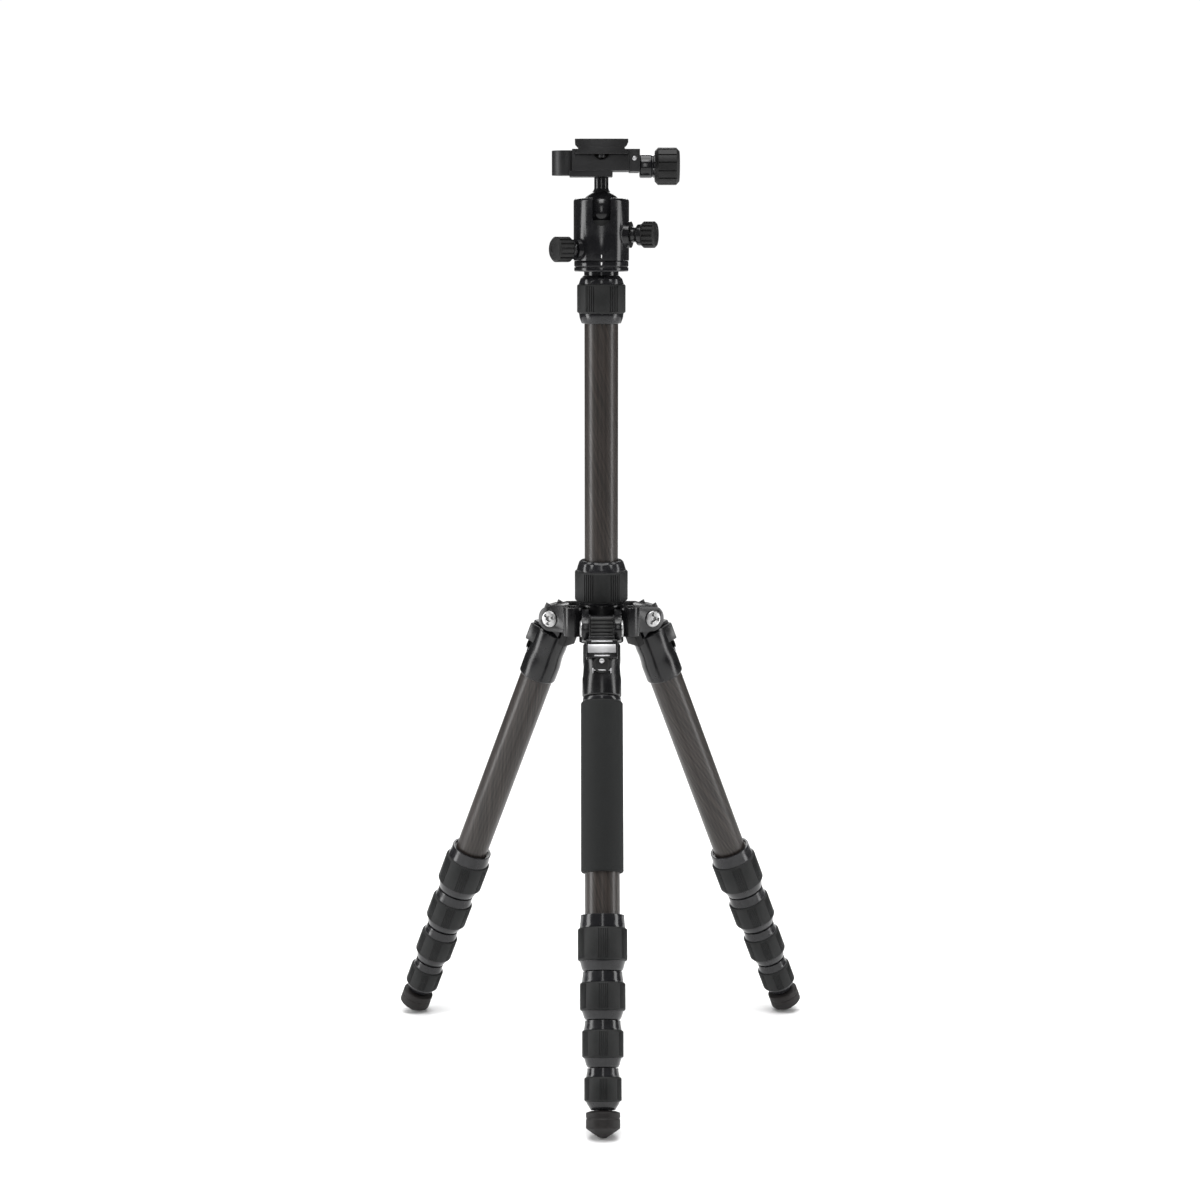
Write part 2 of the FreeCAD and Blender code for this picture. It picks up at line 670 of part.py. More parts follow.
def head_body():
    """Ball housing with its drop notch and two knob bosses."""
    top = body_bottom + body_height
    shell = rod(body_radius, body_bottom, top)
    rims = [edge for edge in shell.Edges if abs(edge.BoundBox.ZMin - top) < 0.01
            and abs(edge.BoundBox.ZMax - top) < 0.01]
    shell = shell.makeFillet(body_edge, rims)
    bosses = [aimed(rod_x(knob["boss"], (body_radius - 5.0, boss_reach)), knob)
              for knob in (ball_knob, pan_knob)]
    shell = fused([shell] + bosses)
    bore = ball_radius + ball_room
    low_bore = rod(bore, body_bottom + body_floor, ball_centre)
    socket = Part.makeSphere(bore, Vector(0, 0, ball_centre))
    pocket = rod(pan_spigot_radius + running, body_bottom - 1,
                 body_bottom + pan_spigot_height + face_gap)
    notch_end = ball_centre - notch_drop
    notch = fused([
        block((-notch_width / 2, notch_width / 2), (-body_radius - 5, 0),
              (notch_end, top + 5)),
        rod_y(notch_width / 2, (-body_radius - 5, 0), 0.0, notch_end)])
    mouth = Part.makeCone(mouth_radius - 2 * mouth_depth, mouth_radius + mouth_depth,
                          3 * mouth_depth, Vector(0, 0, top - 2 * mouth_depth))
    shell = shell.cut(low_bore).cut(socket).cut(pocket).cut(notch).cut(mouth)
    for knob in (ball_knob, pan_knob):
        hole = rod_x(knob["shaft"] + running, (knob_tip(knob) - 1.0, boss_reach + 1.0))
        shell = shell.cut(aimed(hole, knob))
    return shell


def knob_tip(knob):
    """Where a locking knob's shaft ends, just short of what it presses on."""
    if knob is ball_knob:
        return ball_radius + ball_room + face_gap
    return pan_spigot_radius + running + face_gap


def locking_knob(knob):
    """Threaded shaft, neck, flange and rubber grip, built along X."""
    start = boss_reach + knob_gap
    flange_at = start + knob["neck_length"]
    grip_at = flange_at + knob["flange_length"]
    shapes = [
        rod_x(knob["shaft"], (knob_tip(knob), start)),
        rod_x(knob["neck"], (start, flange_at)),
        rod_x(knob["flange"], (flange_at, grip_at))]
    grip = rod_x(knob["grip"], (grip_at, grip_at + knob["grip_length"]))
    rim = [edge for edge in grip.Edges if edge.BoundBox.XLength < 0.01]
    return aimed(fused(shapes + [grip.makeChamfer(knob_edge, rim)]), knob)


def ball_cup():
    """Seat ring that the ball turns in, pressed up by the lock knob."""
    outer = ball_radius + ball_room - running
    low = body_bottom + body_floor + face_gap
    ring = sleeve(cup_bore, outer, low, ball_centre - cup_drop)
    return ring.cut(Part.makeSphere(ball_radius + running, Vector(0, 0, ball_centre)))


def ball_and_stem():
    ball = Part.makeSphere(ball_radius, Vector(0, 0, ball_centre))
    stem = rod(stem_radius, ball_centre + ball_radius * 0.7, clamp_bottom)
    return fused([ball, stem])


# ---- Clamp and plate --------------------------------------------------------------------
def dovetail(outline_gap):
    """Half-outline of the plate's dovetail, grown by a gap, as (half width, height)."""
    half = plate_width / 2 + outline_gap
    low = plate_bottom + plate_edge
    high = low + plate_undercut
    return half, low, high, half - plate_undercut


def fixed_jaw(y):
    """Hooked jaw that stands along the bed's fixed side, over the length y."""
    jaw_half, low, high, neck_half = dovetail(face_gap)
    jaw_top = bed_top + jaw_lip
    return extruded_y(
        [(-clamp_left, bed_top - jaw_root), (-jaw_half, bed_top - jaw_root), (-jaw_half, low),
         (-jaw_half + (jaw_top - low), jaw_top), (-clamp_left, jaw_top)], y)


def clamp_body():
    """Bed, foot, fixed jaw and the rounded lobe that carries the level."""
    half = clamp_length / 2
    y = (-half, half)
    past = (-half - 1, half + 1)
    neck_half = dovetail(face_gap)[3]
    jaw_top = bed_top + jaw_lip
    lobe_top = jaw_top - lobe_drop
    bed = block((-clamp_left, clamp_right), y, (bed_bottom, bed_top))
    foot = block((-clamp_left - clamp_foot_span[0], clamp_foot_span[1]),
                 (-half + clamp_foot_inset, half - clamp_foot_inset),
                 (clamp_bottom, bed_bottom))
    lobe = rod(level_lobe_radius, clamp_bottom + lobe_rise, lobe_top)
    lobe.translate(Vector(level_lobe_radius - level_lobe_reach, 0, 0))
    body = fused([bed, fixed_jaw(y), foot, lobe])
    over_bed = block((fixed_jaw_step - clamp_left, plate_width), past, (bed_top, jaw_top + 5))
    body = body.cut(over_bed.cut(fixed_jaw(y)))
    over_neck = block((-neck_half, plate_width), past, (dovetail(face_gap)[2], jaw_top + 5))
    body = body.cut(over_neck)
    pocket = rod(level_radius, lobe_top - level_depth, lobe_top + 1)
    pocket.translate(Vector(-level_reach, 0, 0))
    body = body.cut(pocket)
    bore = (clamp_right - clamp_rod_depth - 1.0, clamp_right + 1)
    body = body.cut(rod_x(clamp_rod_radius + running, bore, 0.0, knob_axis_height))
    for side in (-1, 1):
        body = body.cut(rod_x(guide_pin_radius + running, bore, side * guide_pin_offset,
                              knob_axis_height))
    recess = stop_screw_radius + stop_slot_room
    recess_end = (plate_length / 2 - stop_screw_inset - stop_screw_radius - plate_travel
                  - face_gap)
    for side in (-1, 1):
        travel_slot = rod_y(recess, sorted((side * recess_end, side * (half + 1))), 0.0,
                            bed_top + recess * stop_slot_rise)
        body = body.cut(travel_slot)
    return body


def clamp_jaw():
    """Moving jaw with two guide pins that run in the bed."""
    half = clamp_length / 2
    jaw_half, low = dovetail(face_gap)[:2]
    jaw_top = bed_top + jaw_lip
    left = clamp_right + face_gap
    right = left + jaw_thickness
    jaw = extruded_y(
        [(left, bed_bottom - jaw_drop), (right, bed_bottom - jaw_drop), (right, jaw_top),
         (jaw_half - (jaw_top - low), jaw_top), (jaw_half, low), (jaw_half, bed_top + face_gap),
         (left, bed_top + face_gap)], (-half, half))
    pins = [rod_x(guide_pin_radius, (left - clamp_rod_depth, left + 1.0),
                  side * guide_pin_offset, knob_axis_height) for side in (-1, 1)]
    jaw = fused([jaw] + pins)
    return jaw.cut(rod_x(clamp_rod_radius + running, (left - 1, right + 1), 0.0,
                         knob_axis_height))


def clamp_knob():
    """Screw, collar and rubber-covered knob, along X."""
    start = clamp_right + face_gap + jaw_thickness + face_gap
    grip_start = start + clamp_collar_length
    shapes = [
        rod_x(clamp_rod_radius, (clamp_right - clamp_rod_depth, start), 0.0, knob_axis_height),
        rod_x(clamp_collar_radius, (start, grip_start), 0.0, knob_axis_height)]
    grip = rod_x(clamp_knob_radius, (grip_start, grip_start + clamp_knob_length), 0.0,
                 knob_axis_height)
    rim = [edge for edge in grip.Edges if edge.BoundBox.XLength < 0.01]
    return fused(shapes + [grip.makeChamfer(clamp_knob_edge, rim)])


def spirit_level():
    top = bed_top + jaw_lip - lobe_drop
    vial = rod(level_radius, top - level_depth, top)
    vial = vial.cut(rod(level_radius - level_rim, top - level_cup, top + 1))
    lens = rod(level_radius - level_rim, top - level_cup, top - lens_drop)
    vial.translate(Vector(-level_reach, 0, 0))
    lens.translate(Vector(-level_reach, 0, 0))
    return [vial, lens]


def release_plate():
    """Dovetail plate with a counterbored slot for the camera screw."""
    half, low, high, neck_half = dovetail(0.0)
    deck_low = plate_deck - plate_flange
    neck_top = deck_low - plate_undercut
    half_length = plate_length / 2
    right = [(half, plate_bottom), (half, low), (neck_half, high), (neck_half, neck_top),
             (half, deck_low), (half, plate_deck)]
    left = [(-x, z) for x, z in reversed(right)]
    plate = extruded_y(right + left, (-half_length, half_length))
    screw = camera_screw_radius + loose
    plate = plate.cut(rod(screw, plate_bottom - 1, plate_deck + 1))
    head_room = camera_screw_head + loose
    plate = plate.cut(rod(head_room, plate_bottom - 1, screw_head_bottom()
                          + camera_screw_head_height + camera_screw_lift + face_gap))
    for side in (-1, 1):
        plate = plate.cut(pad_strip(side))
    stops = []
    for side in (-1, 1):
        stop = rod(stop_screw_radius, plate_bottom - stop_screw_drop, plate_bottom)
        stop.translate(Vector(0, side * (half_length - stop_screw_inset), 0))
        stops.append(stop)
    return [plate] + stops


def screw_head_bottom():
    return plate_bottom + camera_screw_rest


def pad_strip(side):
    """Rubber strip let into the deck at one end of the camera screw."""
    inner = camera_screw_radius + pad_to_screw
    y = sorted((side * inner, side * (plate_length / 2 - pad_end)))
    x = (pad_edge - plate_width / 2, plate_width / 2 - pad_edge)
    top = plate_deck + deck_pad_proud
    return block(x, y, (top - deck_pad_thickness, top))


def camera_screw():
    """Captive screw, dropped into the plate when no camera is on it."""
    head_low = screw_head_bottom()
    head_top = head_low + camera_screw_head_height
    head = rod(camera_screw_head, head_low, head_top)
    slot = block((-camera_screw_head, camera_screw_head), (-driver_slot, driver_slot),
                 (head_low - 1, head_low + driver_slot_depth))
    head = head.cut(slot)
    return fused([head, rod(camera_screw_radius, head_top, plate_deck)])


# ---- Write every sub-part ---------------------------------------------------------------
os.makedirs("parts", exist_ok=True)

for leg, azimuth in leg_azimuths.items():
    prefix = "leg_" + leg + "_"
    node(prefix + "yoke", *[on_leg(solid, azimuth) for solid in leg_yoke()])
    node(prefix + "angle_tab", on_leg(leg_angle_tab(), azimuth))
    for n in range(tube_count):
        node(prefix + "tube_" + str(n + 1), *[on_leg(solid, azimuth) for solid in leg_tube(n)])
    for n in range(tube_count - 1):
        node(prefix + "lock_" + str(n + 1), *[on_leg(solid, azimuth) for solid in leg_lock(n)])
    node(prefix + "foot", on_leg(leg_foot(), azimuth))

node("leg_grip", on_leg(grip_sleeve(), leg_azimuths["a"]))
node("hub", hub_casting())
node("leg_pivot_pins", *[turn_about_z(pivot_pin(), azimuth) for azimuth in leg_azimuths.values()])
node("hub_screws", *[turn_about_z(accessory_screw(), azimuth + 60.0)
                     for azimuth in leg_azimuths.values()])
node("hub_bush", hub_bush())
node("hub_lock", *hub_lock())
node("column_tube", *column_tube())
node("column_lock", *column_lock())
node("column_inner_tube", *inner_column())
node("head_mount_plate", head_mount_plate())
node("weight_hook", weight_hook())
node("pan_base", pan_base())
node("head_body", head_body())
node("ball_cup", ball_cup())
node("ball_stem", ball_and_stem())
node("ball_lock_knob", locking_knob(ball_knob))
node("pan_lock_knob", locking_knob(pan_knob))
node("clamp_body", clamp_body())
node("clamp_jaw", clamp_jaw())
node("clamp_knob", clamp_knob())
node("spirit_level", *spirit_level())
node("quick_release_plate", *release_plate())
node("plate_pads", pad_strip(-1), pad_strip(1))
node("camera_screw", camera_screw())
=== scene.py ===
import json
import math

import bmesh
import bpy
from mathutils import Matrix, Vector


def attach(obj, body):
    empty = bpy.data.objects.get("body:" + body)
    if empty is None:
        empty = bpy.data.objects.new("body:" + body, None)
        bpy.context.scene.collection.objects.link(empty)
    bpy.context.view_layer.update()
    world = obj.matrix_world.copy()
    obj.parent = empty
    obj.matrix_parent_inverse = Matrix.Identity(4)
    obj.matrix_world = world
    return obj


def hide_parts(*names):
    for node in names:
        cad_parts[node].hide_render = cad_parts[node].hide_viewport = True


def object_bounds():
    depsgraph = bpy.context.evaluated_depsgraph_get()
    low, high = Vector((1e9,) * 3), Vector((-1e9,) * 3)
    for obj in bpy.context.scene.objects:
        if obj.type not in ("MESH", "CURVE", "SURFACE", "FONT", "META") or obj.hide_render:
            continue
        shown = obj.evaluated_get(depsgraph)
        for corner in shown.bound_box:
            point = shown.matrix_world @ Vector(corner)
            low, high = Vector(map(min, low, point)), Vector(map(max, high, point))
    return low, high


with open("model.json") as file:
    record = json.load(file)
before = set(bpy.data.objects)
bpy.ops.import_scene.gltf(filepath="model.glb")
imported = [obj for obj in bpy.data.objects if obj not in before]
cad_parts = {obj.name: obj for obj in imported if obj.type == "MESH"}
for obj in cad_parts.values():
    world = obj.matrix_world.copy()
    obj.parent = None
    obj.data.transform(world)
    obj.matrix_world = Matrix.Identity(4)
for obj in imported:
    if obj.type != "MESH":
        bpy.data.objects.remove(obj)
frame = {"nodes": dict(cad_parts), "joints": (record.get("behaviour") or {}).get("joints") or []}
cad_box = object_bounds()

# ---- Camera -------------------------------------------------------------------------------
# A long lens a little above the hub, level with the middle of the raised column, and turned
# slightly to the left of the front leg. Lengths are in metres.
joints = {joint["name"]: joint for joint in frame["joints"]}
hinge_height = joints["leg_a_hinge"]["pos_m"][2]
camera_distance = 1.6305
camera_rise = 0.2795
camera_pitch = 9.21
camera_turn = -0.42
camera_aim = -0.034

camera_data = bpy.data.cameras.new("camera")
camera_data.lens = 66.4
camera_data.sensor_width = 36.0
camera_data.clip_end = 100.0
camera = bpy.data.objects.new("camera", camera_data)
bpy.context.scene.collection.objects.link(camera)
round_column = math.radians(camera_turn)
camera.location = (camera_distance * math.sin(round_column),
                   -camera_distance * math.cos(round_column), hinge_height + camera_rise)
camera.rotation_euler = (math.radians(90.0 - camera_pitch), 0.0,
                         round_column - math.radians(camera_aim))
bpy.context.scene.camera = camera

# ---- Leg tubes ----------------------------------------------------------------------------
# Five carbon fibre tubes slide inside each other in every leg. They are rolled from slanting
# cloth and ground smooth under a satin clear coat, so that long streaks wind round them.
mm = 0.001


def placed(origin, up, out):
    """Axes at the origin whose Z runs along up and whose X leans towards out, for millimetres."""
    z = Vector(up).normalized()
    y = z.cross(Vector(out)).normalized()
    turn = Matrix((y.cross(z), y, z)).transposed()
    return Matrix.Translation(Vector(origin)) @ turn.to_4x4() @ Matrix.Scale(mm, 4)


def corners(node, place):
    """A CAD node's corners, in millimetres in a place's own axes."""
    inverse = place.inverted()
    return [inverse @ vertex.co for vertex in frame["nodes"][node].data.vertices]


def reach(node, place, axis):
    """How far a node lies along one of a place's axes, as (lowest, highest)."""
    along = [point[axis] for point in corners(node, place)]
    return min(along), max(along)


def radius_of(node, place):
    return max(math.hypot(point.x, point.y) for point in corners(node, place))


def widest(node, place):
    """The stretch along Z over which a node has its full radius."""
    full = radius_of(node, place) - 0.05
    band = [point.z for point in corners(node, place) if math.hypot(point.x, point.y) > full]
    return min(band), max(band)


class Value:
    """An output of a shader node. Sums on it add their own Math nodes."""

    def __init__(self, tree, socket):
        self.tree = tree
        self.socket = socket

    def add(self, kind, settings=None, sockets=None, output=0):
        made = self.tree.nodes.new(kind)
        for key, setting in (settings or {}).items():
            if key == "stops":
                ramp = made.color_ramp
                ramp.elements[0].position, ramp.elements[0].color = setting[0]
                ramp.elements[1].position, ramp.elements[1].color = setting[-1]
                for position, colour in setting[1:-1]:
                    ramp.elements.new(position).color = colour
            else:
                setattr(made, key, setting)
        for key, value in (sockets or {}).items():
            if isinstance(value, Value):
                self.tree.links.new(value.socket, made.inputs[key])
            else:
                made.inputs[key].default_value = value
        return Value(self.tree, made.outputs[output])

    def math(self, operation, *others):
        sockets = {n + 1: other for n, other in enumerate(others)}
        sockets[0] = self
        return self.add("ShaderNodeMath", {"operation": operation}, sockets)

    def __add__(self, other):
        return self.math("ADD", other)

    __radd__ = __add__

    def __mul__(self, other):
        return self.math("MULTIPLY", other)

    __rmul__ = __mul__

    def __sub__(self, other):
        return self.math("SUBTRACT", other)

    def __rsub__(self, other):
        return self.add("ShaderNodeMath", {"operation": "SUBTRACT"}, {0: other, 1: self})

    def __truediv__(self, other):
        return self.math("DIVIDE", other)

    def blend(self, low, high):
        """From one colour to another as this value goes from 0 to 1."""
        return self.add("ShaderNodeMix", {"data_type": "RGBA", "clamp_factor": True},
                        {0: self, 6: low, 7: high}, 2)

    def noise(self, scale, detail=3.0, roughness=0.5):
        return self.add("ShaderNodeTexNoise", {},
                        {"Vector": self, "Scale": scale, "Detail": detail, "Roughness": roughness})

    def step(self, low, high):
        """0 below low and 1 above high, with a smooth change between."""
        return self.add("ShaderNodeMapRange", {"interpolation_type": "SMOOTHSTEP"},
                        {"Value": self, "From Min": low, "From Max": high})


def colour(red, green, blue):
    return (red, green, blue, 1.0)


def paint(name, **constants):
    """A new material's shader, and the coordinates of the piece that it is on."""
    material = bpy.data.materials.new(name)
    material.use_nodes = True
    tree = material.node_tree
    shader = next(node for node in tree.nodes if node.type == "BSDF_PRINCIPLED")
    for key, value in constants.items():
        shader.inputs[key.replace("_", " ").title().replace("Ior", "IOR")].default_value = value
    place = tree.nodes.new("ShaderNodeTexCoord")
    return material, shader, Value(tree, place.outputs["Object"])


def dress(shader, base=None, roughness=None, height=None, depth=0.1, **others):
    """Lead varying values to a shader. The height's full range is a relief of depth millimetres."""
    tree = shader.id_data
    links = dict(others)
    if base is not None:
        links["Base Color"] = base
    if roughness is not None:
        links["Roughness"] = roughness
    if height is not None:
        links["Normal"] = height.add("ShaderNodeBump", {},
                                     {"Strength": 1.0, "Distance": depth * mm, "Height": height})
    for key, value in links.items():
        tree.links.new(value.socket, shader.inputs[key])


def turned_to(coords, place):
    """Object coordinates brought to a place's own axes, in millimetres."""
    inverse = place.inverted()
    size = inverse.to_scale()
    return coords.add("ShaderNodeMapping", {}, {
        "Vector": coords, "Location": inverse.to_translation(),
        "Rotation": inverse.to_euler(), "Scale": size})


def parts_of(vector):
    """The three parts of a vector."""
    return [vector.add("ShaderNodeSeparateXYZ", {}, {0: vector}, n) for n in range(3)]


def carbon(name, place, radius):
    """Slanting carbon cloth under a clear coat, wound round a tube of that radius."""
    material, shader, coords = paint(name, coat_roughness=0.16, specular_ior_level=0.3)
    x, y, z = parts_of(turned_to(coords, place))
    around = y.math("ARCTAN2", x) * radius
    tow = 1.45
    warp = (around + z) / tow
    weft = (around - z) / tow
    over = (warp.math("FLOOR") + weft.math("FLOOR")).math("FLOORED_MODULO", 4.0).step(1.4, 1.6)
    ridge = warp.math("FRACT") * 6.2832
    valley = weft.math("FRACT") * 6.2832
    crown = (1.0 - over) * (1.0 - ridge.math("COSINE")) + over * (1.0 - valley.math("COSINE"))
    slant = warp.add("ShaderNodeCombineXYZ", {}, {0: around * 0.9 + z * 0.30, 1: z * 0.02, 2: 0.0})
    streak = slant.noise(0.75, 4.0, 0.6).step(0.36, 0.66)
    fine = warp.add("ShaderNodeCombineXYZ", {}, {0: warp * 5.0, 1: weft * 0.5, 2: over * 9.0})
    fibre = fine.noise(1.0, 2.0)
    tone = streak * 0.55 + over * 0.2 + fibre * 0.25
    base = tone.blend(colour(0.005, 0.004, 0.0035), colour(0.036, 0.028, 0.024))
    dress(shader, base, 0.30 + fibre * 0.16 + (1.0 - streak) * 0.08, crown, 0.012,
          **{"Coat Weight": 0.14 + fibre * 0.16})
    return material


legs = {}
for leg in "abc":
    hinge = joints["leg_" + leg + "_hinge"]
    up = joints["leg_" + leg + "_section_2_slide"]["axis"]
    inward = joints["leg_" + leg + "_tab_slide"]["axis"]
    legs[leg] = placed(hinge["pos_m"], up, [-part for part in inward])
    for n in range(1, 6):
        tube = "leg_" + leg + "_tube_" + str(n)
        cloth = carbon("carbon_" + tube, legs[leg], radius_of(tube, legs[leg]))
        frame["nodes"][tube].data.materials.clear()
        frame["nodes"][tube].data.materials.append(cloth)

# ---- Twist locks --------------------------------------------------------------------------
# Each leg has four moulded collars that grip the tube inside them when twisted. A glossy
# shoulder and a rounded nose show above and below a rubber grip with fine ribs in six groups.
turn_steps = 144
steps_per_group = 24
groove_steps = (20, 22, 0, 2, 4)


def piece(name, mesh_maker, place, materials, body, stands_for=(), crease=32.0):
    """Bring a mesh made in millimetres to its place and hang it on its body."""
    bmesh.ops.transform(mesh_maker, matrix=place, verts=mesh_maker.verts)
    mesh = bpy.data.meshes.new(name)
    mesh_maker.to_mesh(mesh)
    mesh_maker.free()
    for material in materials:
        mesh.materials.append(material)
    mesh.polygons.foreach_set("use_smooth", [True] * len(mesh.polygons))
    mesh.set_sharp_from_angle(angle=math.radians(crease))
    made = bpy.data.objects.new(name, mesh)
    bpy.context.scene.collection.objects.link(made)
    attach(made, body)
    if stands_for:
        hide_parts(*stands_for)
    return made


def turned(outline, steps=96, closed=True):
    """A body of revolution about Z from (radius, height) points."""
    made = bmesh.new()
    points = [made.verts.new((radius, 0.0, height)) for radius, height in outline]
    pairs = list(zip(points, points[1:]))
    if closed:
        pairs.append((points[-1], points[0]))
    edges = [made.edges.new(pair) for pair in pairs]
    bmesh.ops.spin(made, geom=points + edges, cent=(0, 0, 0), axis=(0, 0, 1),
                   angle=math.tau, steps=steps, use_merge=True)
    bmesh.ops.remove_doubles(made, verts=made.verts, dist=1e-5)
    bmesh.ops.recalc_face_normals(made, faces=made.faces)
    return made


def rounded(made, offset, segments=2, over=25.0):
    """Round the edges at which a mesh turns by more than an angle."""
    sharp = [edge for edge in made.edges
             if len(edge.link_faces) == 2 and edge.calc_face_angle(0.0) > math.radians(over)]
    bmesh.ops.bevel(made, geom=sharp, offset=offset, offset_type="OFFSET", segments=segments,
                    profile=0.5, affect="EDGES", material=-1, clamp_overlap=True)
    return made


def ribbed(outline, grooves, depth, wall, steps=turn_steps, group=steps_per_group):
    """A turned ring with straight grooves pressed in its widest band."""
    made = turned(outline, steps)
    full = max(radius for radius, height in outline)
    pressed = []
    for face in made.faces:
        centre = face.calc_center_median()
        if abs(face.normal.z) < 0.1 and math.hypot(centre.x, centre.y) > full * 0.985:
            column = int(math.atan2(centre.y, centre.x) % math.tau / math.tau * steps)
            if column % group in grooves:
                pressed.append(face)
    bmesh.ops.inset_individual(made, faces=pressed, thickness=wall, depth=-depth,
                               use_even_offset=True)
    return made


def rubber(name, dark, light, grain=1500.0, relief=0.03, gloss=0.55, **constants):
    """Matt moulded rubber: a fine pebbled skin with paler rubbed patches."""
    material, shader, coords = paint(name, specular_ior_level=0.24, **constants)
    pebble = coords.noise(grain, 2.0)
    patch = coords.noise(70.0, 4.0, 0.6)
    tone = patch.step(0.35, 0.7) * 0.6 + pebble * 0.4
    dress(shader, tone.blend(dark, light), gloss + patch * 0.18 - pebble * 0.06, pebble, relief)
    return material


def lacquer(name, dark, light, gloss=0.16, grain=900.0, relief=0.004, **constants):
    """Glossy black: a faint orange-peel surface with a few duller, handled patches."""
    material, shader, coords = paint(name, specular_ior_level=0.34, **constants)
    peel = coords.noise(grain, 2.0)
    handled = coords.noise(55.0, 5.0, 0.62).step(0.42, 0.75)
    fleck = coords.noise(5200.0, 1.0)
    tone = handled * 0.7 + fleck * 0.3
    dress(shader, tone.blend(dark, light), gloss + handled * 0.12 + fleck * 0.03, peel, relief)
    return material


grip_rubber = rubber("lock_grip_rubber", colour(0.006, 0.0065, 0.0065), colour(0.014, 0.0145, 0.0145))
collar_gloss = lacquer("lock_collar_gloss", colour(0.008, 0.008, 0.009),
                       colour(0.02, 0.02, 0.022), 0.14)
rib_depth = 0.45
lock_core = 1.55              # rubber's thickness over the collar
for leg, place in legs.items():
    for n in range(1, 5):
        node = "leg_" + leg + "_lock_" + str(n)
        low, high = reach(node, place, 2)
        grip_low, grip_high = widest(node, place)
        full = radius_of(node, place)
        bore = radius_of("leg_" + leg + "_tube_" + str(n + 1), place) + 0.35
        upper = radius_of("leg_" + leg + "_tube_" + str(n), place) + 0.2
        core = full - lock_core
        edge = 1.2
        collar = turned([
            (upper, high), (upper + 1.9, high), (upper + 1.9, high - 2.0),
            (full - 1.5, grip_high + edge + 1.6), (full - 1.3, grip_high + edge + 0.05),
            (core, grip_high + edge + 0.05), (core, grip_low - edge - 0.05),
            (full - 1.3, grip_low - edge - 0.05), (full - 1.9, grip_low - edge - 1.6),
            (bore + 2.4, low + 1.9), (bore + 1.5, low + 0.35), (bore, low),
            (bore, low + 3.0), (upper, low + 5.0)])
        rounded(collar, 0.5, 3, 18.0)
        piece(node + "_collar", collar, place, [collar_gloss], node, [node])
        grip = ribbed([
            (core, grip_low - edge), (full - 1.15, grip_low - edge),
            (full - 0.35, grip_low - edge * 0.6), (full, grip_low),
            (full, grip_high), (full - 0.35, grip_high + edge * 0.6),
            (full - 1.15, grip_high + edge), (core, grip_high + edge)],
            groove_steps, rib_depth, 0.1)
        piece(node + "_grip", grip, place, [grip_rubber], node)

# ---- Feet ---------------------------------------------------------------------------------
# Each leg ends in a rubber foot pushed over the last tube, moulded in one piece with a short
# glossy rim where it meets the last lock and a blunt cone below.
foot_rubber = rubber("foot_rubber", colour(0.006, 0.0052, 0.005), colour(0.016, 0.014, 0.0135),
                     1100.0, 0.04, 0.5)
for leg, place in legs.items():
    node = "leg_" + leg + "_foot"
    low, high = reach(node, place, 2)
    side_low, side_high = widest(node, place)
    full = radius_of(node, place)
    inner = radius_of("leg_" + leg + "_tube_5", place)
    foot = turned([
        (inner, high - 2.0), (inner, high), (inner + 1.5, high), (full - 0.5, side_high + 0.5),
        (full, side_high), (full, side_high - 3.0), (full - 0.35, side_high - 3.4),
        (full - 0.35, side_high - 4.0), (full, side_high - 4.4), (full, side_low + 0.6),
        (full - 0.5, side_low), (full * 0.55, (side_low + low) * 0.5 - 0.2), (2.0, low + 0.15),
        (0.0, low)], 96, False)
    rounded(foot, 0.4, 3, 14.0)
    piece(node + "_rubber", foot, place, [foot_rubber], "leg_" + leg + "_section_5",
          [node])

# ---- Foam grip ----------------------------------------------------------------------------
# One leg carries a sleeve of closed foam between its yoke and its first lock, glued to the
# tube, with softly rounded ends.
place = legs["a"]
low, high = reach("leg_grip", place, 2)
full = radius_of("leg_grip", place)
top_tube_radius = max(math.hypot(p.x, p.y) for p in corners("leg_a_tube_1", place)
                      if p.z > low)
sleeve = turned([(top_tube_radius, low), (full - 1.0, low), (full, low + 1.0), (full, high - 1.0),
                 (full - 1.0, high), (top_tube_radius, high)])
rounded(sleeve, 0.8, 4, 20.0)
foam, foam_shader, coords = paint("grip_foam", specular_ior_level=0.22)
cells = coords.add("ShaderNodeTexVoronoi", {}, {"Vector": coords, "Scale": 1900.0})
soft = coords.noise(90.0, 4.0, 0.6)
dress(foam_shader, (soft * 0.6 + cells * 0.5).blend(colour(0.005, 0.0055, 0.0055),
                                                    colour(0.013, 0.014, 0.014)),
      0.68 + soft * 0.15, cells, 0.05)
piece("leg_grip_foam", sleeve, place, [foam], "leg_a_upper", ["leg_grip"])
ring = rounded(turned([(top_tube_radius, high), (13.9, high), (13.9, high + 2.6),
                       (13.2, high + 3.1), (top_tube_radius, high + 3.1)]), 0.3)
piece("leg_grip_ring", ring, place, [collar_gloss], "leg_a_upper")

# ---- Yokes --------------------------------------------------------------------------------
# A black aluminium casting is bonded on each leg's top tube. Its tongue turns on the hub's
# pin, its outer face carries the angle tab and a blank name plate, and its inner face a pad.
casting_black = lacquer("casting_black", colour(0.004, 0.004, 0.0045), colour(0.012, 0.012, 0.013),
                        0.19, 700.0, 0.008)
pad_black = rubber("stop_pad_black", colour(0.006, 0.006, 0.006), colour(0.014, 0.014, 0.014),
                   1300.0, 0.03, 0.6)
yoke_radius = 14.2
yoke_end = 51.5
tongue = 9.3
knuckle = 9.5
pad_depth = (-16.2, -10.8)
pad_width = (-8.2, 8.2)
pad_length = (-17.0, -4.0)


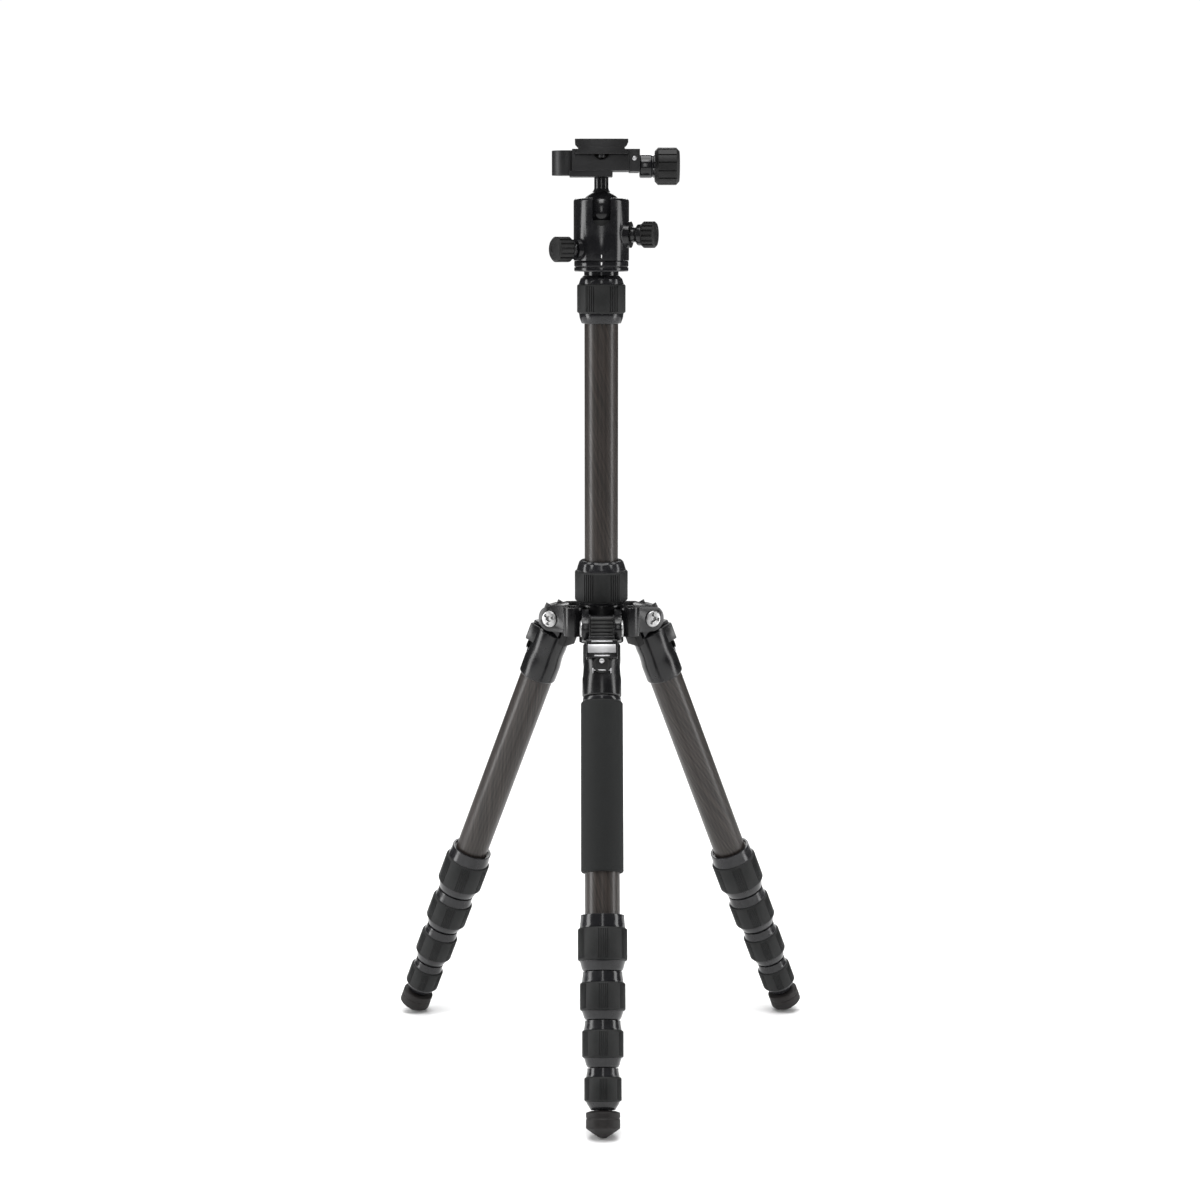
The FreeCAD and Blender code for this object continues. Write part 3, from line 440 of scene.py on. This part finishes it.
def boxed(x, y, z):
    """A block between two limits along each axis."""
    made = bmesh.new()
    bmesh.ops.create_cube(made, size=1.0)
    size = (x[1] - x[0], y[1] - y[0], z[1] - z[0])
    middle = ((x[0] + x[1]) / 2, (y[0] + y[1]) / 2, (z[0] + z[1]) / 2)
    bmesh.ops.scale(made, vec=size, verts=made.verts)
    bmesh.ops.translate(made, vec=middle, verts=made.verts)
    return made


def joined(meshes):
    """Several meshes as one."""
    whole = bmesh.new()
    for made in meshes:
        carried = bpy.data.meshes.new("carried")
        made.to_mesh(carried)
        made.free()
        whole.from_mesh(carried)
        bpy.data.meshes.remove(carried)
    return whole


def laid(made, axis, centre=(0.0, 0.0, 0.0)):
    """Turn a mesh made along Z to lie along another axis, and move it."""
    turn = Vector((0, 0, 1)).rotation_difference(Vector(axis)).to_matrix()
    bmesh.ops.rotate(made, cent=(0, 0, 0), matrix=turn, verts=made.verts)
    bmesh.ops.translate(made, vec=centre, verts=made.verts)
    return made


def slab(outline, y):
    """An (x, z) outline drawn out between two limits along Y."""
    made = bmesh.new()
    ends = [[made.verts.new((x, at, z)) for x, z in outline] for at in y]
    made.faces.new(ends[0])
    made.faces.new(list(reversed(ends[1])))
    for n in range(len(outline)):
        following = (n + 1) % len(outline)
        made.faces.new((ends[0][n], ends[0][following], ends[1][following], ends[1][n]))
    bmesh.ops.recalc_face_normals(made, faces=made.faces)
    return made


slot_floor = 5.8              # bed of the tab's slot, out from the hinge's axis
cheek_face = 9.9
slot_turn = math.acos(slot_floor / knuckle)
drum = [(knuckle * math.cos(turn), knuckle * math.sin(turn)) for turn in
        (slot_turn + (math.tau - 2 * slot_turn) * n / 60 for n in range(61))]
for leg, place in legs.items():
    node = "leg_" + leg + "_yoke"
    slot_half = reach("leg_" + leg + "_angle_tab", place, 1)[1] + 0.1
    body = "leg_" + leg + "_upper"
    barrel = rounded(turned([
        (0.0, -11.2), (yoke_radius - 2.4, -11.2), (yoke_radius - 0.6, -12.6),
        (yoke_radius - 0.5, -24.0), (yoke_radius - 0.9, -29.0), (yoke_radius - 0.5, -35.0),
        (yoke_radius, -38.0), (yoke_radius, -50.6), (yoke_radius - 0.8, -yoke_end),
        (12.55, -yoke_end), (12.55, -48.0), (0.0, -48.0)], 96, False), 0.5, 3, 12.0)
    eye = slab(drum, (-tongue, tongue))
    guide = rounded(boxed((-knuckle, slot_floor), (-tongue, tongue), (-14.0, 0.0)), 0.4)
    saddle = rounded(boxed((4.0, 15.0), (-11.6, 11.6), (-25.0, -11.4)), 0.9, 3)
    lip = rounded(boxed((7.0, 14.0), (-tongue, tongue), (-13.4, -9.0)), 0.5, 3)
    casting = [barrel, eye, guide, saddle, lip]
    for side in (-1, 1):
        cheek = sorted((side * slot_half, side * tongue))
        casting.append(rounded(boxed((0.0, cheek_face), cheek, (-14.0, 8.0)), 0.35, 3))
        casting.append(laid(turned([(0.0, cheek[0]), (knuckle, cheek[0]), (knuckle, cheek[1]),
                                    (0.0, cheek[1])], 64, False), (0, 1, 0)))
    piece(node + "_casting", joined(casting), place, [casting_black], body,
          [node])
    pad = rounded(boxed(pad_depth, pad_width, pad_length), 0.5, 3)
    piece(node + "_stop_pad", pad, place, [pad_black], body)

# ---- Angle tabs, name plates and screws on the yokes --------------------------------------
# A ribbed plastic tab springs out of each yoke and stops the leg on the hub. Under it a blank
# brushed plate is glued to the saddle, above a dark seat with a bright screw.
tab_black = lacquer("tab_black", colour(0.005, 0.005, 0.005), colour(0.014, 0.014, 0.014),
                    0.34, 1500.0, 0.01)
plate_silver, silver_shader, coords = paint("name_plate_silver", metallic=0.85)
grain = coords.add("ShaderNodeMapping", {}, {"Vector": coords, "Scale": (260.0, 9000.0, 9000.0)})
brushed = grain.noise(1.0, 3.0)
dress(silver_shader, brushed.blend(colour(0.36, 0.36, 0.37), colour(0.62, 0.62, 0.63)),
      0.28 + brushed * 0.25, brushed, 0.006)


def softened(node, width, segments=2, over=28.0):
    """A CAD node's own shape with its sharp edges rounded."""
    made = bmesh.new()
    made.from_mesh(frame["nodes"][node].data)
    bmesh.ops.scale(made, vec=(1 / mm, 1 / mm, 1 / mm), verts=made.verts)
    bmesh.ops.remove_doubles(made, verts=made.verts, dist=0.002)
    bmesh.ops.dissolve_limit(made, angle_limit=math.radians(0.6), verts=made.verts,
                             edges=made.edges)
    return rounded(made, width, segments, over)


upright = Matrix.Scale(mm, 4)
plate_at = 15.0
for leg, place in legs.items():
    body = "leg_" + leg + "_upper"
    tab = "leg_" + leg + "_angle_tab"
    piece(tab + "_ribbed", softened(tab, 0.3, 3), upright, [tab_black], tab, [tab])
    label = rounded(boxed((plate_at - 0.4, plate_at + 0.35), (-10.2, 10.2), (-21.4, -15.2)), 0.3)
    strips = [rounded(boxed((plate_at - 0.3, plate_at + 0.25), (-half, half), (z - 0.5, z + 0.5)),
                      0.2) for half, z in ((7.6, -13.0), (5.6, -23.6))]
    piece("leg_" + leg + "_name_plate", joined([label] + strips), place, [plate_silver], body)
    seat = laid(rounded(turned([(0.0, 0.0), (5.6, 0.0), (6.4, 0.9), (6.4, 1.3), (5.0, 1.3),
                                (4.4, 0.5), (0.0, 0.5)], 64, False), 0.15),
                (1, 0, 0), (yoke_radius - 0.9, 0.0, -30.0))
    piece("leg_" + leg + "_screw_seat", seat, place, [pad_black], body)
    screw = laid(rounded(turned([(0.0, 0.0), (1.8, 0.0), (1.8, 0.7), (1.4, 1.1), (0.8, 1.1),
                                 (0.8, 0.4), (0.0, 0.4)], 32, False), 0.12),
                 (1, 0, 0), (yoke_radius - 0.4, 0.0, -27.2))
    piece("leg_" + leg + "_yoke_screw", screw, place, [plate_silver], body)
    bar = rounded(boxed((yoke_radius - 0.5, yoke_radius + 0.15), (-6.0, 6.0), (-34.4, -33.7)), 0.2)
    ends = [rounded(boxed((yoke_radius - 2.0, yoke_radius - 0.9), sorted((side * 6.0, side * 7.0)),
                          (-35.8, -32.4)), 0.2) for side in (-1, 1)]
    piece("leg_" + leg + "_staple", joined([bar] + ends), place, [plate_silver], body)

# ---- Hub ----------------------------------------------------------------------------------
# The hub is one black casting: a core around the column, a pair of ears for every leg, and a
# boss with a threaded socket between each two pairs.
piece("hub_casting", softened("hub", 0.8, 3), upright, [casting_black], "hub",
      ["hub"])
acetal = rubber("bush_acetal", colour(0.02, 0.02, 0.02), colour(0.035, 0.035, 0.035), 600.0,
                0.01, 0.4)
for node in ("hub_bush", "ball_cup"):
    frame["nodes"][node].data.materials.clear()
    frame["nodes"][node].data.materials.append(acetal)

# ---- Pivot pins and socket screws ---------------------------------------------------------
# A bright turned steel pin goes through each pair of ears. Its domed heads have a round
# socket with three notches, for the key that sets the leg's stiffness.


def turned_steel(name, place, dark=0.20, light=0.48):
    """Steel with fine rings from the lathe, round a place's own Z."""
    material, shader, coords = paint(name, metallic=1.0)
    x, y, z = parts_of(turned_to(coords, place))
    out = (x * x + y * y).math("SQRT")
    rings = out.add("ShaderNodeCombineXYZ", {}, {0: out * 9.0, 1: z * 9.0, 2: 0.0}).noise(1.0, 3.0)
    smear = coords.noise(300.0, 3.0)
    dress(shader, (rings * 0.6 + smear * 0.4).blend(colour(dark, dark, dark),
                                                    colour(light, light, light)),
          0.16 + rings * 0.2 + smear * 0.1, rings, 0.012)
    return material


def notched(made, inner, outer, top, columns, steps, depth):
    """Press notches in the flat ring between two radii at a height."""
    faces = []
    for face in made.faces:
        centre = face.calc_center_median()
        out = math.hypot(centre.x, centre.y)
        turn = int(math.atan2(centre.y, centre.x) % math.tau / math.tau * steps)
        if abs(centre.z - top) < 0.01 and inner < out < outer and turn in columns:
            faces.append(face)
    bmesh.ops.inset_region(made, faces=faces, thickness=0.05, depth=-depth)
    return made


for leg in legs:
    hinge = joints["leg_" + leg + "_hinge"]
    place = placed(hinge["pos_m"], hinge["axis"], (0, 0, 1))
    heads = []
    for side in (-1, 1):
        head = turned([(0.0, 12.0), (5.9, 12.0), (6.2, 14.6), (6.2, 15.3), (5.5, 15.9),
                       (4.7, 16.0), (2.3, 16.0), (2.1, 15.8), (2.1, 14.4), (0.0, 14.4)], 48, False)
        prongs = [n + turn for turn in (0, 16, 32) for n in range(5)]
        notched(head, 2.5, 4.6, 16.0, prongs, 48, 1.3)
        heads.append(laid(head, (0, 0, side)) if side < 0 else head)
    piece("leg_" + leg + "_pin", joined(heads), place,
          [turned_steel("pin_steel_" + leg, place)], "hub",
          ["leg_pivot_pins"] if leg == "a" else ())

socket_top = hinge_height / mm + 11.0
socket_out = 24.65
screws = []
for turn in (-30.0, 90.0, 210.0):
    around = math.radians(turn)
    screw = turned([(0.0, -2.6), (3.85, -2.6), (3.85, -0.6), (3.3, -0.1), (1.8, -0.1),
                    (1.6, -0.4), (1.6, -1.6), (0.0, -1.6)], 36, False)
    bmesh.ops.translate(screw, verts=screw.verts, vec=(
        socket_out * math.cos(around), socket_out * math.sin(around), socket_top - 0.4))
    screws.append(screw)
piece("hub_socket_screws", joined(screws), upright,
      [turned_steel("socket_screw_steel", upright, 0.10, 0.24)], "hub",
      ["hub_screws"])

# ---- Column -------------------------------------------------------------------------------
# Two carbon tubes slide in the hub. The outer one ends below in a black plug, through which
# a bright wire hook drops.
column_radius = max(math.hypot(p.x, p.y) for p in corners("column_tube", upright)
                    if p.z < hinge_height / mm)
column_low, column_high = reach("column_tube", upright, 2)
tube_low = column_low + 1.5
column_bore = 11.15
collet_length = 5.0
collet_radius = 12.9
tube_high = column_high - collet_length
tube = turned([(column_bore, tube_low), (column_radius, tube_low), (column_radius, tube_high),
               (column_bore, tube_high)])
piece("column_outer_tube", tube, upright, [carbon("carbon_column", upright, column_radius)],
      "column", ["column_tube"])
plug = rounded(turned([(2.2, column_low), (column_radius - 1.0, column_low),
                       (column_radius, column_low + 0.5), (column_radius, tube_low),
                       (11.1, tube_low), (11.1, tube_low + 6.0), (2.2, tube_low + 6.0)]), 0.3)
piece("column_plug", plug, upright, [tab_black], "column")
collet_bore = 11.0
collet = turned([(collet_bore, tube_high), (collet_radius, tube_high),
                 (collet_radius, column_high), (collet_bore, column_high)])
piece("column_collet", collet, upright, [acetal], "column")
inner_column_radius = 10.75
frame["nodes"]["column_inner_tube"].data.materials.clear()
frame["nodes"]["column_inner_tube"].data.materials.append(
    carbon("carbon_inner_column", upright, inner_column_radius))
piece("weight_hook_wire", softened("weight_hook", 0.25), upright,
      [turned_steel("hook_steel", upright)], "weight_hook", ["weight_hook"])

# ---- Column locks -------------------------------------------------------------------------
# Two larger collars, one on the hub and one on the column, with the same ribbed rubber. Their
# glossy shoulders are scalloped in line with the groups of ribs.


def scalloped(made, above, dip):
    """Draw a collar's shoulder in, six times round, in line with the groups of ribs."""
    for vertex in made.verts:
        if vertex.co.z > above:
            turn = math.atan2(vertex.co.y, vertex.co.x)
            share = 1.0 - dip * (0.5 + 0.5 * math.cos(6 * turn)) ** 3
            vertex.co.x *= share
            vertex.co.y *= share
    return made


def big_lock(node, bore, shoulder, foot, clear):
    """A collar with its rubber grip; shoulder and foot are (radius, height) outlines."""
    low, high = reach(node, upright, 2)
    grip_low, grip_high = widest(node, upright)
    full = radius_of(node, upright)
    core = full - 1.95
    outline = ([(bore, low)] + [(radius, low + rise) for radius, rise in foot]
               + [(full - 1.4, grip_low - 1.25), (core, grip_low - 1.25),
                  (core, grip_high + 1.25), (full - 1.3, grip_high + 1.25)]
               + [(full - inset, high - drop) for inset, drop in shoulder]
               + [(clear, high), (clear, high - 3.0), (bore, high - 4.0)])
    collar = scalloped(turned(outline, turn_steps), grip_high + 2.0, 0.045)
    piece(node + "_collar", rounded(collar, 0.45, 3, 20.0), upright, [collar_gloss], node,
          [node])
    grip = ribbed([(core, grip_low - 1.2), (full - 1.2, grip_low - 1.2),
                   (full - 0.35, grip_low - 0.6), (full, grip_low), (full, grip_high),
                   (full - 0.35, grip_high + 0.6), (full - 1.2, grip_high + 1.2),
                   (core, grip_high + 1.2)], groove_steps, 0.55, 0.12)
    piece(node + "_grip", grip, upright, [grip_rubber], node)


big_lock("hub_lock", 15.6, ((1.6, 4.6), (2.7, 1.5), (4.3, 0.0)), ((17.6, 0.0), (17.9, 0.6)), 12.7)
big_lock("column_lock", 13.5, ((1.5, 3.6), (2.0, 2.2), (4.4, 0.0)),
         ((14.2, 0.0), (14.8, 1.2), (15.9, 4.4)), 12.0)

# ---- Panning base -------------------------------------------------------------------------
# The inner column carries a small platform, and the head's base turns on it. The base is a
# turned black ring with a groove, bright at its edges, and a white index mark in front.
gloss = lacquer("head_gloss_black", colour(0.006, 0.006, 0.007), colour(0.014, 0.014, 0.015),
                0.13, 600.0, 0.003)
frame["nodes"]["head_mount_plate"].data.materials.clear()
frame["nodes"]["head_mount_plate"].data.materials.append(gloss)
low = reach("head_mount_plate", upright, 2)[0] + 12.8
top = reach("head_body", upright, 2)[0] - 0.2
full = radius_of("pan_base", upright)
base = rounded(turned([(0.0, low), (full - 0.7, low), (full, low + 0.7), (full, low + 2.7),
                       (full - 0.6, low + 3.1), (full - 0.6, low + 3.5), (full, low + 3.9),
                       (full, top - 0.5), (full - 0.5, top), (13.0, top), (13.0, top + 9.0),
                       (0.0, top + 9.0)], 128, False), 0.18)
piece("pan_base_ring", base, upright, [gloss], "inner_column", ["pan_base"])
white, white_shader, coords = paint("index_white", specular_ior_level=0.3)
dress(white_shader, coords.noise(4000.0).blend(colour(0.62, 0.62, 0.62), colour(0.85, 0.85, 0.85)),
      0.5 + coords.noise(900.0) * 0.2)
mark = rounded(boxed((-0.4, 0.4), (-full - 0.03, -full + 0.6), (top - 3.0, top - 1.0)), 0.02)
piece("pan_index", mark, upright, [white], "inner_column")
body_full = 20.15
tick = rounded(boxed((-0.3, 0.3), (-body_full - 0.03, -body_full + 0.6), (top + 2.0, top + 4.4)),
               0.02)
piece("body_index", tick, upright, [white], "head")

# ---- Ball head ----------------------------------------------------------------------------
# The head's body is machined from bar and anodised gloss black, with a drop notch in front. A
# polished ball with its stem turns in it.
piece("head_housing", softened("head_body", 0.35, 3, 33.0), upright, [gloss], "head",
      ["head_body"])
centre = Vector(joints["ball_tilt"]["pos_m"]) / mm
ball_radius = 15.2
stem_radius = 5.15
ball = bmesh.new()
bmesh.ops.create_uvsphere(ball, u_segments=96, v_segments=48, radius=ball_radius)
bmesh.ops.translate(ball, vec=centre, verts=ball.verts)
foot_low = reach("clamp_body", upright, 2)[0]
stem = rounded(turned([(0.0, centre.z + 9.0), (7.6, centre.z + 12.6), (5.6, centre.z + 14.9),
                       (stem_radius, centre.z + 16.4), (stem_radius, foot_low - 1.6),
                       (stem_radius, foot_low),
                       (0.0, foot_low)], 64, False), 0.4, 3)
piece("ball_and_stem", joined([ball, stem]), upright, [gloss], "ball",
      ["ball_stem"])

# ---- Knobs --------------------------------------------------------------------------------
# A turned black neck and flange carry a moulded rubber grip with straight ribs. The larger
# knob locks the ball, and the smaller the panning base.
knob_rubber = rubber("knob_rubber", colour(0.005, 0.005, 0.005), colour(0.013, 0.013, 0.013),
                     1500.0, 0.03, 0.5)


def lock_knob(node, joint, neck, flange):
    """A knob whose neck and flange are (radius, length)."""
    place = placed(joints[joint]["pos_m"], joints[joint]["axis"], (0, 0, 1))
    end = reach(node, place, 2)[1]
    full = radius_of(node, place)
    grip_at = neck[1] + flange[1]
    stub = rounded(turned([(0.0, 0.0), (neck[0], 0.0), (neck[0] - 0.5, neck[1] * 0.5),
                           (neck[0], neck[1]), (flange[0] - 0.6, neck[1]),
                           (flange[0], neck[1] + 0.8), (flange[0], grip_at + 1.0),
                           (0.0, grip_at + 1.0)], 72, False), 0.3)
    piece(node + "_neck", stub, place, [gloss], node, [node])
    grip = ribbed([(flange[0] - 1.0, grip_at), (full - 1.3, grip_at), (full, grip_at + 1.5),
                   (full, end - 1.5), (full - 1.3, end - 0.2), (full - 2.6, end),
                   (full - 4.6, end), (full - 5.0, end - 0.7), (0.0, end - 0.7),
                   (0.0, grip_at)], (0, 1), 0.5, 0.08, 80, 5)
    piece(node + "_grip", grip, place, [knob_rubber], node)


lock_knob("ball_lock_knob", "ball_lock_knob_turn", (5.85, 4.1), (7.75, 3.6))
lock_knob("pan_lock_knob", "pan_lock_knob_turn", (5.4, 1.4), (7.4, 2.0))

# ---- Clamp --------------------------------------------------------------------------------
# The clamp is milled from aluminium, blasted and anodised satin black. Its moving jaw runs on
# two pins and is drawn up by the large ribbed knob on the right.
satin, satin_shader, coords = paint("clamp_satin_black", metallic=0.6)
blast = coords.noise(3600.0, 2.0)
worn = coords.noise(60.0, 4.0, 0.6)
dress(satin_shader, (worn * 0.6 + blast * 0.4).blend(colour(0.008, 0.008, 0.0085),
                                                     colour(0.030, 0.030, 0.031)),
      0.36 + blast * 0.14, blast, 0.012)
piece("clamp_bed", softened("clamp_body", 0.45, 3), upright, [satin], "ball",
      ["clamp_body"])
piece("clamp_moving_jaw", softened("clamp_jaw", 0.4, 3), upright, [satin], "clamp_jaw",
      ["clamp_jaw"])
knob = joints["clamp_knob_turn"]
place = placed((0.0, 0.0, knob["pos_m"][2]), (1, 0, 0), (0, 0, 1))
end = reach("clamp_knob", place, 2)[1]
full = radius_of("clamp_knob", place)
grip_at = widest("clamp_knob", place)[0] - 2.4
collar_at = grip_at - 11.0
collar = rounded(turned([(0.0, collar_at), (7.6, collar_at), (8.3, collar_at + 0.7),
                         (8.3, grip_at - 2.6), (7.7, grip_at - 2.0), (7.7, grip_at - 1.2),
                         (8.3, grip_at - 0.6), (8.3, grip_at + 1.0), (0.0, grip_at + 1.0)],
                        72, False), 0.25)
piece("clamp_knob_collar", collar, place, [gloss], "clamp_knob", ["clamp_knob"])
grip = ribbed([(7.0, grip_at), (full - 2.9, grip_at), (full - 2.4, grip_at + 0.1),
               (full, grip_at + 2.4), (full, end - 2.4), (full - 2.4, end - 0.1),
               (full - 2.9, end), (full - 5.5, end), (full - 6.0, end - 0.8), (0.0, end - 0.8),
               (0.0, grip_at)], (0,), 0.8, 0.12, 84, 6)
piece("clamp_knob_grip", grip, place, [knob_rubber], "clamp_knob")
bed_low = reach("clamp_jaw", upright, 2)[0] + 0.6
bed_front = reach("clamp_body", upright, 1)[0]
pin = laid(rounded(turned([(0.0, 0.0), (1.5, 0.0), (1.5, 0.35), (0.9, 0.6), (0.0, 0.6)],
                          24, False), 0.1), (0, -1, 0),
           (reach("clamp_jaw", upright, 0)[1] - 4.0, bed_front + 0.1, bed_low + 8.6))
piece("jaw_pin", pin, upright, [plate_silver], "clamp_jaw")

# ---- Spirit level -------------------------------------------------------------------------
# A bull's-eye level is pressed in the clamp's rounded end: a clear cup of yellow-green spirit
# with a bubble, and a ring printed on the glass.
low, high = reach("spirit_level", upright, 2)
level_x = sum(reach("spirit_level", upright, 0)) / 2
vial = rounded(turned([(0.0, low), (4.5, low), (4.5, high - 0.2), (4.2, high), (3.3, high),
                       (3.1, high - 0.6), (0.0, high - 0.6)], 64, False), 0.12)
bmesh.ops.translate(vial, vec=(level_x, 0.0, 0.0), verts=vial.verts)
spirit, spirit_shader, coords = paint("level_spirit", roughness=0.06, coat_weight=0.6)
x, y, z = parts_of(turned_to(coords, upright))
out = ((x - level_x) * (x - level_x) + y * y).math("SQRT")
ring = out.step(1.55, 1.6) * (1.0 - out.step(1.8, 1.85))
bubble = 1.0 - out.step(1.15, 1.3)
liquid = (coords.noise(500.0) * 0.4 + bubble * 0.8).blend(colour(0.42, 0.6, 0.06),
                                                          colour(0.78, 0.9, 0.42))
cup_wall = out.step(3.05, 3.15)
dress(spirit_shader, (ring + cup_wall).blend(liquid, colour(0.02, 0.02, 0.02)))
piece("spirit_level_vial", vial, upright, [spirit], "ball", ["spirit_level"])

# ---- Quick-release plate ------------------------------------------------------------------
# A dovetail plate of the same satin black slides in the clamp. Ribbed rubber strips are let
# into its deck on each side of the bright camera screw.
piece("release_plate_dovetail", softened("quick_release_plate", 0.25, 2), upright, [satin],
      "release_plate", ["quick_release_plate"])
pad_grey = rubber("pad_rubber", colour(0.012, 0.012, 0.012), colour(0.03, 0.03, 0.03), 2200.0,
                  0.03, 0.6)
low, high = reach("plate_pads", upright, 2)
x_low, x_high = reach("plate_pads", upright, 0)
y_high = reach("plate_pads", upright, 1)[1]
inner = min(abs(point.y) for point in corners("plate_pads", upright))
ribs = []
rib_pitch = 1.5
for side in (-1, 1):
    ribs.append(boxed((x_low, x_high), sorted((side * inner, side * y_high)), (low, high - 0.35)))
    for n in range(int((y_high - inner) / rib_pitch)):
        at = side * (inner + (n + 0.5) * rib_pitch)
        ribs.append(rounded(boxed((x_low + 0.4, x_high - 0.4), (at - 0.5, at + 0.5),
                                  (low + 0.1, high)), 0.15))
piece("plate_pad_strips", joined(ribs), upright, [pad_grey], "release_plate",
      ["plate_pads"])
piece("camera_screw_thread", softened("camera_screw", 0.15, 2), upright,
      [turned_steel("camera_screw_steel", upright)], "camera_screw",
      ["camera_screw"])

# ---- Stage --------------------------------------------------------------------------------
# A round pale floor under soft studio panels: a tall one on each side, a narrow one in front,
# one above it and a weaker one behind, with even light from straight above.
floor_mesh = bmesh.new()
bmesh.ops.create_circle(floor_mesh, cap_ends=True, segments=128, radius=2.4)
mesh = bpy.data.meshes.new("floor")
floor_mesh.to_mesh(mesh)
floor_mesh.free()
floor = bpy.data.objects.new("floor", mesh)
floor.location.z = cad_box[0].z - 0.0002
bpy.context.scene.collection.objects.link(floor)
floor_paint, floor_shader, coords = paint("floor_pale", roughness=0.9, specular_ior_level=0.1)
dress(floor_shader, coords.noise(3.0).blend(colour(0.90, 0.90, 0.90), colour(0.93, 0.93, 0.93)))
mesh.materials.append(floor_paint)


def panel(name, position, width, height, power):
    """A soft light panel that faces the middle of the tripod."""
    data = bpy.data.lights.new(name, "AREA")
    data.shape = "RECTANGLE"
    data.size = width
    data.size_y = height
    data.energy = power
    made = bpy.data.objects.new(name, data)
    made.location = position
    aim = Vector((0.0, 0.0, 0.4)) - Vector(position)
    made.rotation_euler = aim.to_track_quat("-Z", "Y").to_euler()
    made.visible_camera = False
    bpy.context.scene.collection.objects.link(made)


panel("left_panel", (-1.22, -0.25, 0.6), 0.42, 1.5, 16.0)
panel("right_panel", (1.22, -0.25, 0.6), 0.36, 1.5, 11.0)
panel("front_panel", (0.0, -1.45, 0.95), 0.2, 0.8, 2.6)
panel("top_panel", (0.0, -0.75, 1.75), 0.5, 0.5, 6.0)
panel("back_panel", (0.0, 1.3, 1.2), 0.9, 0.5, 6.0)
sun = bpy.data.objects.new("sky_light", bpy.data.lights.new("sky_light", "SUN"))
sun.data.energy = 3.4
sun.data.angle = math.radians(60.0)
bpy.context.scene.collection.objects.link(sun)

world = bpy.data.worlds.new("studio")
world.use_nodes = True
bpy.context.scene.world = world
background = world.node_tree.nodes["Background"]
ray = Value(world.node_tree, world.node_tree.nodes.new("ShaderNodeLightPath").outputs[0])
world.node_tree.links.new((ray * 0.95 + 0.08).socket, background.inputs["Strength"])
background.inputs["Color"].default_value = (1.0, 1.0, 1.0, 1.0)
bpy.context.scene.view_settings.view_transform = "Standard"
